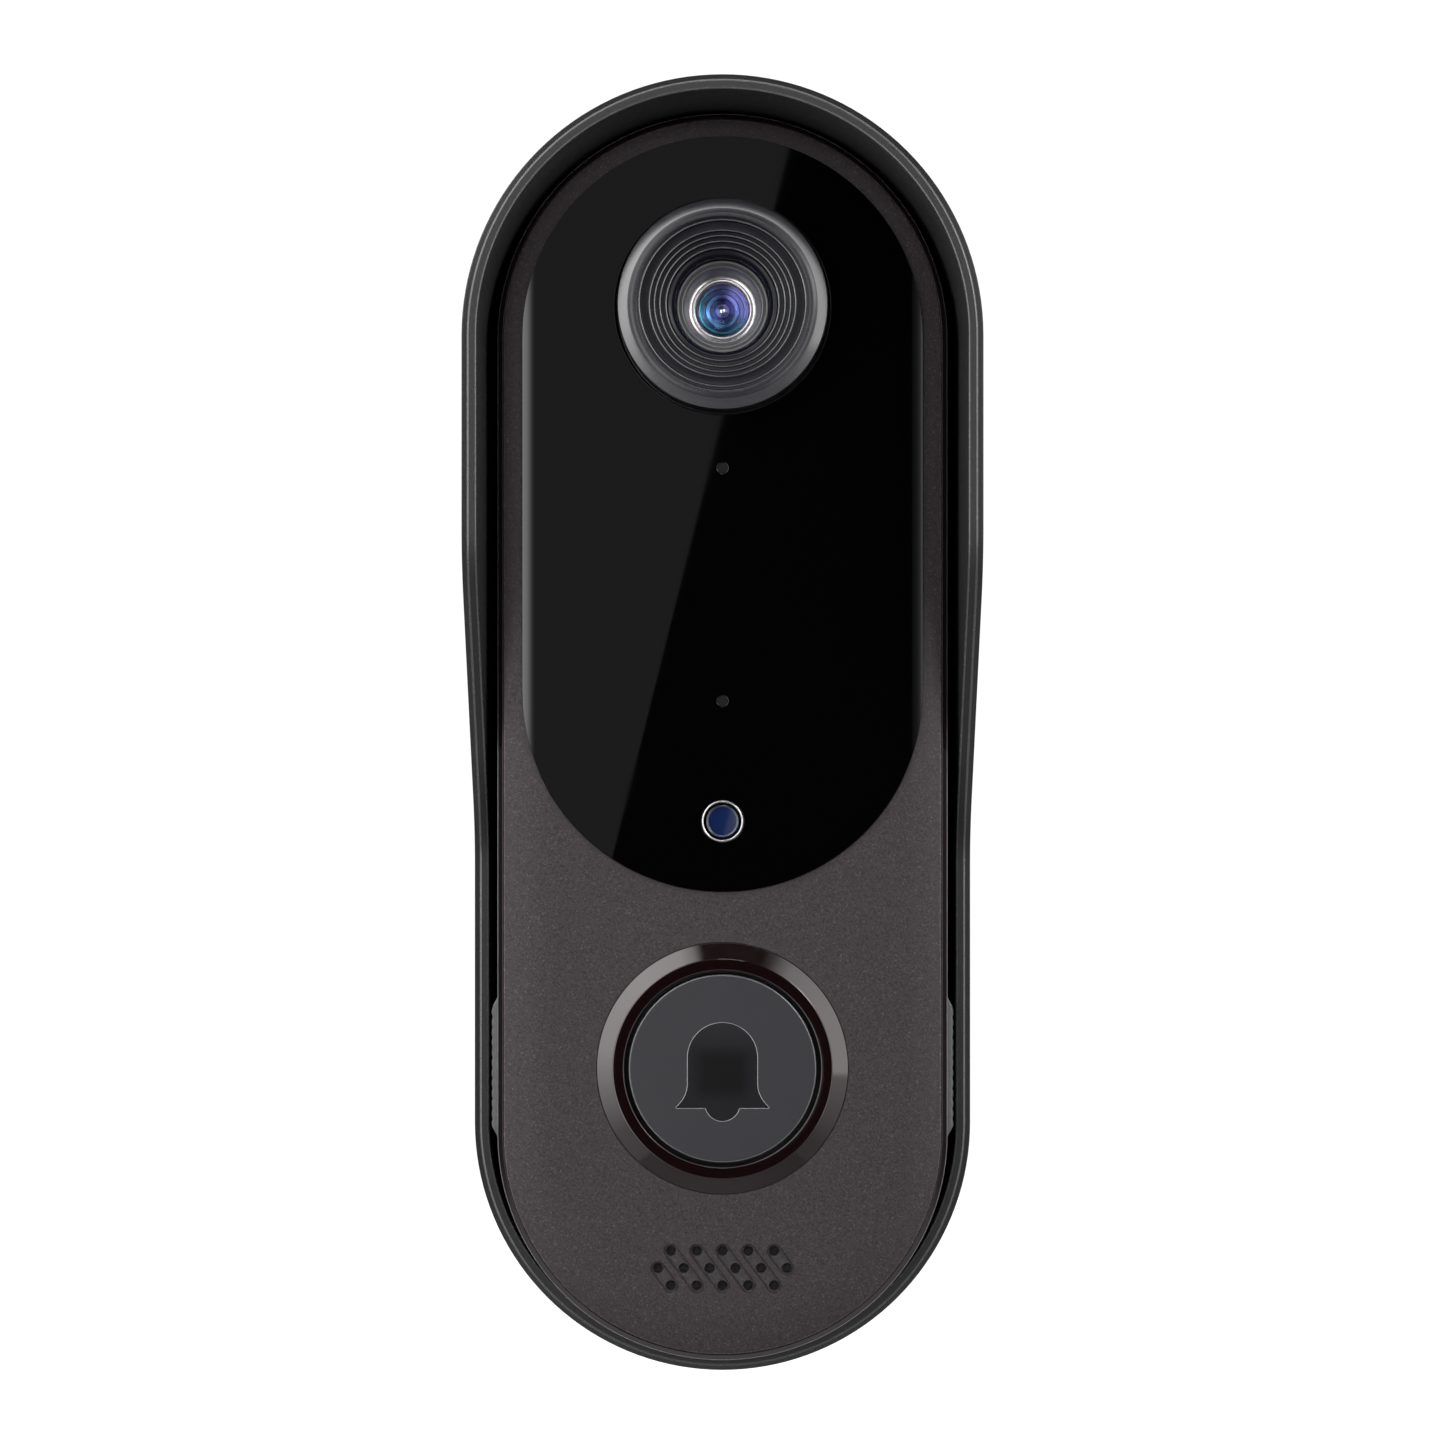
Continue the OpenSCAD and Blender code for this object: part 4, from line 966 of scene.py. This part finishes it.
def make_button_cap():
    """The cap with its skirt and flange, the sunk bell and the fine bright line round the bell, a thin raised
    rib whose light grey is a painted highlight.
    """
    disc = circle(0, BUTTON_UP, 72)
    bell = bell_outline()
    disc_back, flange_t, inside_r = FACE - 1.6, 0.7, 9.6
    bm = bmesh.new()
    add_plate(bm, (disc, CAP_R, 0.33), [(bell, 0.0, 0.05)], disc_back, CAP_FRONT, back=False)
    skirt = [(CAP_R, disc_back), (CAP_R, cap_back + flange_t), (cap_flange_r, cap_back + flange_t),
             (cap_flange_r, cap_back), (inside_r, cap_back), (inside_r, disc_back - 0.1)]
    add_sweep(bm, disc, skirt)
    finishes = [smoky_plastic("button_plastic", 1.0), cap_edge_highlight]
    face = piece("button_face", bm, finishes, ["button_cap"], 50, "button")
    # The cap's rounded edge gets the light grey gloss: a painted highlight along the bevel
    for polygon, r in with_radius(face, BUTTON_UP):
        if r > CAP_R - 0.5 and -0.99 < polygon.normal.y < -0.05:
            polygon.material_index = 1
    bm = bmesh.new()
    add_plate(bm, (bell, 0.02, 0.0), [], FACE - 1.0, CAP_FRONT - 0.06)
    piece("bell_mark", bm, smoky_plastic("button_mark", 0.4), body="button")
    bm = bmesh.new()
    half, root = 0.04, CAP_FRONT - 0.3
    rib = [(-half, root), (-half, CAP_FRONT), (0.0, CAP_FRONT + 0.02), (half, CAP_FRONT), (half, root)]
    add_sweep(bm, bell, rib)
    piece("bell_rim", bm, cap_edge_highlight, body="button")


# ---- Small lights, grips ----


def status_blue():
    paint = Paint("status_blue", (0.0045, 0.013, 0.062), 0.12, Coat_Weight=1.0, Coat_Roughness=0.05)
    haze = paint.remap(paint.from_axis(STATUS_UP), 1.0, 1.85, 0.0, 1.0)
    paint.color(paint.mix(haze, (0.0034, 0.0105, 0.047), (0.0024, 0.007, 0.03)))
    paint.bump(paint.noise(900, 2), 0.003)
    return paint.material


def make_status_light():
    """A thin bright ring round a blue window that is dished a little."""
    inside_r = status_r - 0.2
    corners = [(status_r, panel_back), (status_r, status_front), (inside_r, status_front),
               (inside_r, panel_back)]
    bm = turned(STATUS_UP, corners, [0, 0.08, 0.08, 0], 4, 48, closed=True)
    metal = turned_metal("status_metal", (0.66, 0.65, 0.66), 0.14, STATUS_UP)
    piece("status_ring", bm, metal, ["status_light_ring"])
    front, stem_r, dish = window_front, 1.3, 0.07
    corners = [(0, window_back), (stem_r, window_back), (stem_r, panel_back), (window_r, panel_back),
               (window_r, front), (window_r - 0.12, front), (window_r - 0.2, front - dish), (0, front - dish)]
    bm = turned(STATUS_UP, corners, [0, 0, 0, 0, 0.05, 0.04, 0.04, 0], 3, 48)
    piece("status_lens", bm, status_blue(), ["status_light_window"])


def make_grips():
    """A pad on each side with ramped ends and fine ribs, which the hood's walls hold."""
    bm = bmesh.new()
    inner = BODY_R - 0.2
    proud = grip_right - inner
    ramp, rib = 1.5, 0.12
    ribs = 12
    run = grip_top - grip_bottom - 2 * ramp
    pitch = run / ribs
    line = [(0.0, grip_bottom), (proud - 0.1, grip_bottom + ramp)]
    for i in range(ribs):
        base = grip_bottom + ramp + i * pitch
        line += [(proud, base + 0.25 * pitch), (proud, base + 0.6 * pitch),
                 (proud - rib, base + 0.85 * pitch)]
    line += [(proud - 0.1, grip_top - ramp), (0.0, grip_top)]
    line = softened(line, 0.12, steps=2)
    chamfer = 0.25
    levels = [(grip_back, -chamfer), (grip_back + chamfer, 0), (grip_front - chamfer, 0),
              (grip_front, -chamfer)]
    for side in (-1, 1):
        rows = [[bm.verts.new(at(side * (inner + max(x + shift, 0)), z, out)) for x, z in line]
                for out, shift in levels]
        for a, b in zip(rows, rows[1:]):
            for i in range(len(line) - 1):
                bm.faces.new((a[i], a[i + 1], b[i + 1], b[i]))
        for row, out in ((rows[0], grip_back), (rows[-1], grip_front)):
            feet = [bm.verts.new(at(side * inner, z, out)) for z in (grip_bottom, grip_top)]
            bm.faces.new([row[0]] + feet + list(reversed(row))[:-1])
    piece("grip_pads", bm, grip_plastic, ["side_grips"])


def round_edges(node, width):
    """Takes the sharpness off a CAD node's edges."""
    obj = frame["nodes"][node]
    flat = obj.modifiers.new("flat", "DECIMATE")
    flat.decimate_type = "DISSOLVE"
    flat.angle_limit = math.radians(1)
    bevel = obj.modifiers.new("edges", "BEVEL")
    bevel.width = width * MM
    bevel.segments = 2
    bevel.limit_method = "ANGLE"
    bevel.angle_limit = math.radians(35)


# ---- Stage: floor, light and camera ----

CAMERA_OUT, CAMERA_UP = 581.0, 1.67
FRAME_W = 166.6


def softbox(name, place, target, width, height, radiance, roll=0.0):
    """A rectangular light of an even brightness. Sizes are millimetres, radiance 1 is white."""
    lamp = bpy.data.lights.new(name, "AREA")
    lamp.shape = "RECTANGLE"
    lamp.size = width * MM
    lamp.size_y = height * MM
    lamp.energy = radiance * math.pi * lamp.size * lamp.size_y
    obj = placed(name, lamp)
    obj.location = at(*place)
    facing = at(*target) - obj.location
    obj.rotation_euler = facing.to_track_quat("-Z", "Y").to_euler()
    obj.rotation_euler.rotate_axis("Z", math.radians(roll))
    obj.visible_camera = False


FLOOR_DROP, FLOOR_FRONT = 380.0, 1500.0


def make_stage():
    floor_up = cad_box[0].z / MM - FLOOR_DROP
    reach = 4000
    bm = bmesh.new()
    corners = [bm.verts.new(at(x, floor_up, out)) for x, out in
               ((-reach, -reach), (reach, -reach), (reach, FLOOR_FRONT), (-reach, FLOOR_FRONT))]
    bm.faces.new(corners)
    paint = Paint("floor", (0.6, 0.6, 0.6), 0.9)
    paint.set("Emission Color", (1, 1, 1, 1))
    seen = paint.node("ShaderNodeLightPath").outputs["Is Camera Ray"]
    paint.link(paint.remap(seen, 0.0, 1.0, 0.05, 1.1), paint.shader.inputs["Emission Strength"])
    paint.bump(paint.noise(90, 2), 0.02)
    solid("floor", bm, [paint.material])


def make_world():
    """White behind the object, dim grey elsewhere, and black behind the camera, which the glass mirrors."""
    world = bpy.data.worlds.new("studio")
    bpy.context.scene.world = world
    world.use_nodes = True
    make, link = world.node_tree.nodes.new, world.node_tree.links.new
    background = world.node_tree.nodes["Background"]
    background.inputs["Color"].default_value = (1, 1, 1, 1)
    parts = make("ShaderNodeSeparateXYZ")
    link(make("ShaderNodeTexCoord").outputs["Generated"], parts.inputs[0])
    grey = make("ShaderNodeMapRange")
    link(parts.outputs[1], grey.inputs["Value"])
    for name, value in (("From Min", -0.93), ("From Max", -0.3), ("To Min", 0.0), ("To Max", 0.12)):
        grey.inputs[name].default_value = value
    pick = make("ShaderNodeMix")
    link(make("ShaderNodeLightPath").outputs["Is Camera Ray"], pick.inputs[0])
    link(grey.outputs[0], pick.inputs[2])
    pick.inputs[3].default_value = 1.05
    link(pick.outputs[0], background.inputs["Strength"])


CARD_AT, CARD_OUT, CARD_TILT = (-131.8, 91.3), 740, 14.0
# Brightness of the two reflectors beside the camera, by millimetres from the middle
GLOW_OUT, GLOW_TOP = 640.0, 5.0
GLOW_LEFT = [(47, 0.3), (68, 0.47), (89, 1.05), (111, 2.15), (132, 3.1), (155, 3.6), (178, 4.1),
             (340, 4.6)]
GLOW_RIGHT = [(62, 0.02), (84, 0.1), (106, 0.15), (129, 0.22), (150, 0.4), (172, 0.9), (205, 3.4),
              (340, 4.4)]
HALO_OUT, HALO_INNER, HALO_SPLIT, HALO_OUTER = 400.0, 325.0, 410.0, 900.0
HALO_STRENGTH = 4.8
# Brightness of the light ring by its angle: 0 is to the right, 90 is up
HALO_SIDES = [(-180, 0.8), (-165, 0.55), (-140, 0.18), (-90, 0.09), (-45, 0.095), (-13.5, 0.28),
              (-11.5, 0.62), (20, 0.62), (48, 0.5)]
HALO_LEFT = [(115, 0.85), (140, 0.95), (179.9, 0.8)]
HALO_NEAR = HALO_SIDES + [(60, 0.1), (66, 0.01), (102, 0.01), (107, 0.5)] + HALO_LEFT
HALO_FAR = HALO_SIDES + [(70, 0.8), (100, 0.9)] + HALO_LEFT
GLOW_LOW, GLOW_HIGH = -240, 330
LENS_AT, BODY_AT = (0, LENS_UP, 25), (0, 0, 15)
# Each lamp: name, place, target, width, height and brightness
LAMPS = [
    # Two small ones that make a highlight near the middle of the lens and one on its right
    ("spark", (22, 196, 660), LENS_AT, 66, 66, 9),
    ("pane", (232, 138, 410), LENS_AT, 84, 92, 12),
    # Two behind, for the sides and the back
    ("back_left", (-760, 420, -520), BODY_AT, 460, 620, 2.6),
    ("back_right", (820, 260, -420), BODY_AT, 380, 620, 2.0),
]


def card_mesh(name, quads, strength):
    """A flat reflector the camera doesn't see. strength gives its brightness from its material's Paint."""
    bm = bmesh.new()
    for quad in quads:
        bm.faces.new([bm.verts.new(at(*corner)) for corner in quad])
    paint = Paint(name, (0, 0, 0), 1.0)
    paint.set("Emission Color", (1, 1, 1, 1))
    paint.set("Specular IOR Level", 0.0)
    paint.link(strength(paint), paint.shader.inputs["Emission Strength"])
    card = solid(name, bm, [paint.material])
    card.visible_camera = False


def glow_strength(side, stops):
    near, far = stops[0][0], stops[-1][0]
    steps = [((x - near) / (far - near), (value / GLOW_TOP,) * 3) for x, value in stops]

    def strength(paint):
        share = paint.remap(paint.axes()[0], side * near * MM, side * far * MM, 0.0, 1.0)
        return paint.math("MULTIPLY", paint.ramp(share, steps), GLOW_TOP)
    return strength


def halo_strength(paint):
    axes = paint.axes()
    turn = paint.remap(paint.math("ARCTAN2", axes[2], axes[0]), -math.pi, math.pi, 0.0, 1.0)
    near, far = (paint.ramp(turn, [((angle + 180) / 360, (value,) * 3) for angle, value in stops])
                 for stops in (HALO_NEAR, HALO_FAR))
    split = paint.remap(paint.from_axis(0), HALO_SPLIT - 15, HALO_SPLIT + 15, 0.0, 1.0)
    return paint.math("MULTIPLY", paint.mix(split, near, far), HALO_STRENGTH)


def make_lights():
    # The card whose slanted edge shows in the glass: its right-hand edge is the line that is mirrored
    softbox("card", (*CARD_AT, CARD_OUT), (*CARD_AT, FACE), 260, 420, 0.27, roll=-CARD_TILT)
    for lamp in LAMPS:
        softbox(*lamp)
    # Two reflectors, brighter further out, that the glass's rolled edges mirror as soft bands
    for name, side, stops in (("glow_left", -1, GLOW_LEFT), ("glow_right", 1, GLOW_RIGHT)):
        near, far = side * stops[0][0], side * stops[-1][0]
        card = [(near, GLOW_LOW), (far, GLOW_LOW), (far, GLOW_HIGH), (near, GLOW_HIGH)]
        card_mesh(name, [[(*corner, GLOW_OUT) for corner in card]], glow_strength(side, stops))
    # A broken ring of light round the view, which the bezel and the button's ring mirror
    halo = []
    for i in range(96):
        a, b = (math.tau * k / 96 for k in (i, i + 1))
        halo.append([(r * math.cos(angle), r * math.sin(angle), HALO_OUT)
                     for r, angle in ((HALO_INNER, a), (HALO_OUTER, a), (HALO_OUTER, b), (HALO_INNER, b))])
    card_mesh("halo", halo, halo_strength)


def make_camera():
    data = bpy.data.cameras.new("camera")
    data.sensor_width = 36
    data.lens = data.sensor_width * (CAMERA_OUT - FACE) / FRAME_W
    data.clip_start = 0.01
    camera = placed("camera", data)
    camera.location = at(0, CAMERA_UP, CAMERA_OUT)
    camera.rotation_euler = (math.pi / 2, 0, 0)
    bpy.context.scene.camera = camera


make_inner_materials()
dress_cad_nodes()
make_hood()
make_trim()
make_plate()
make_panel()
make_dots()
make_bezel()
make_barrel()
make_lens()
make_button_ring()
make_button_cap()
make_status_light()
make_grips()
for node, width in (("rear_housing", 0.35), ("battery_door", 0.25), ("wall_bracket", 0.3),
                    ("port_cover", 0.15)):
    round_edges(node, width)
make_stage()
make_world()
make_lights()
make_camera()
bpy.context.scene.view_settings.view_transform = "Standard"
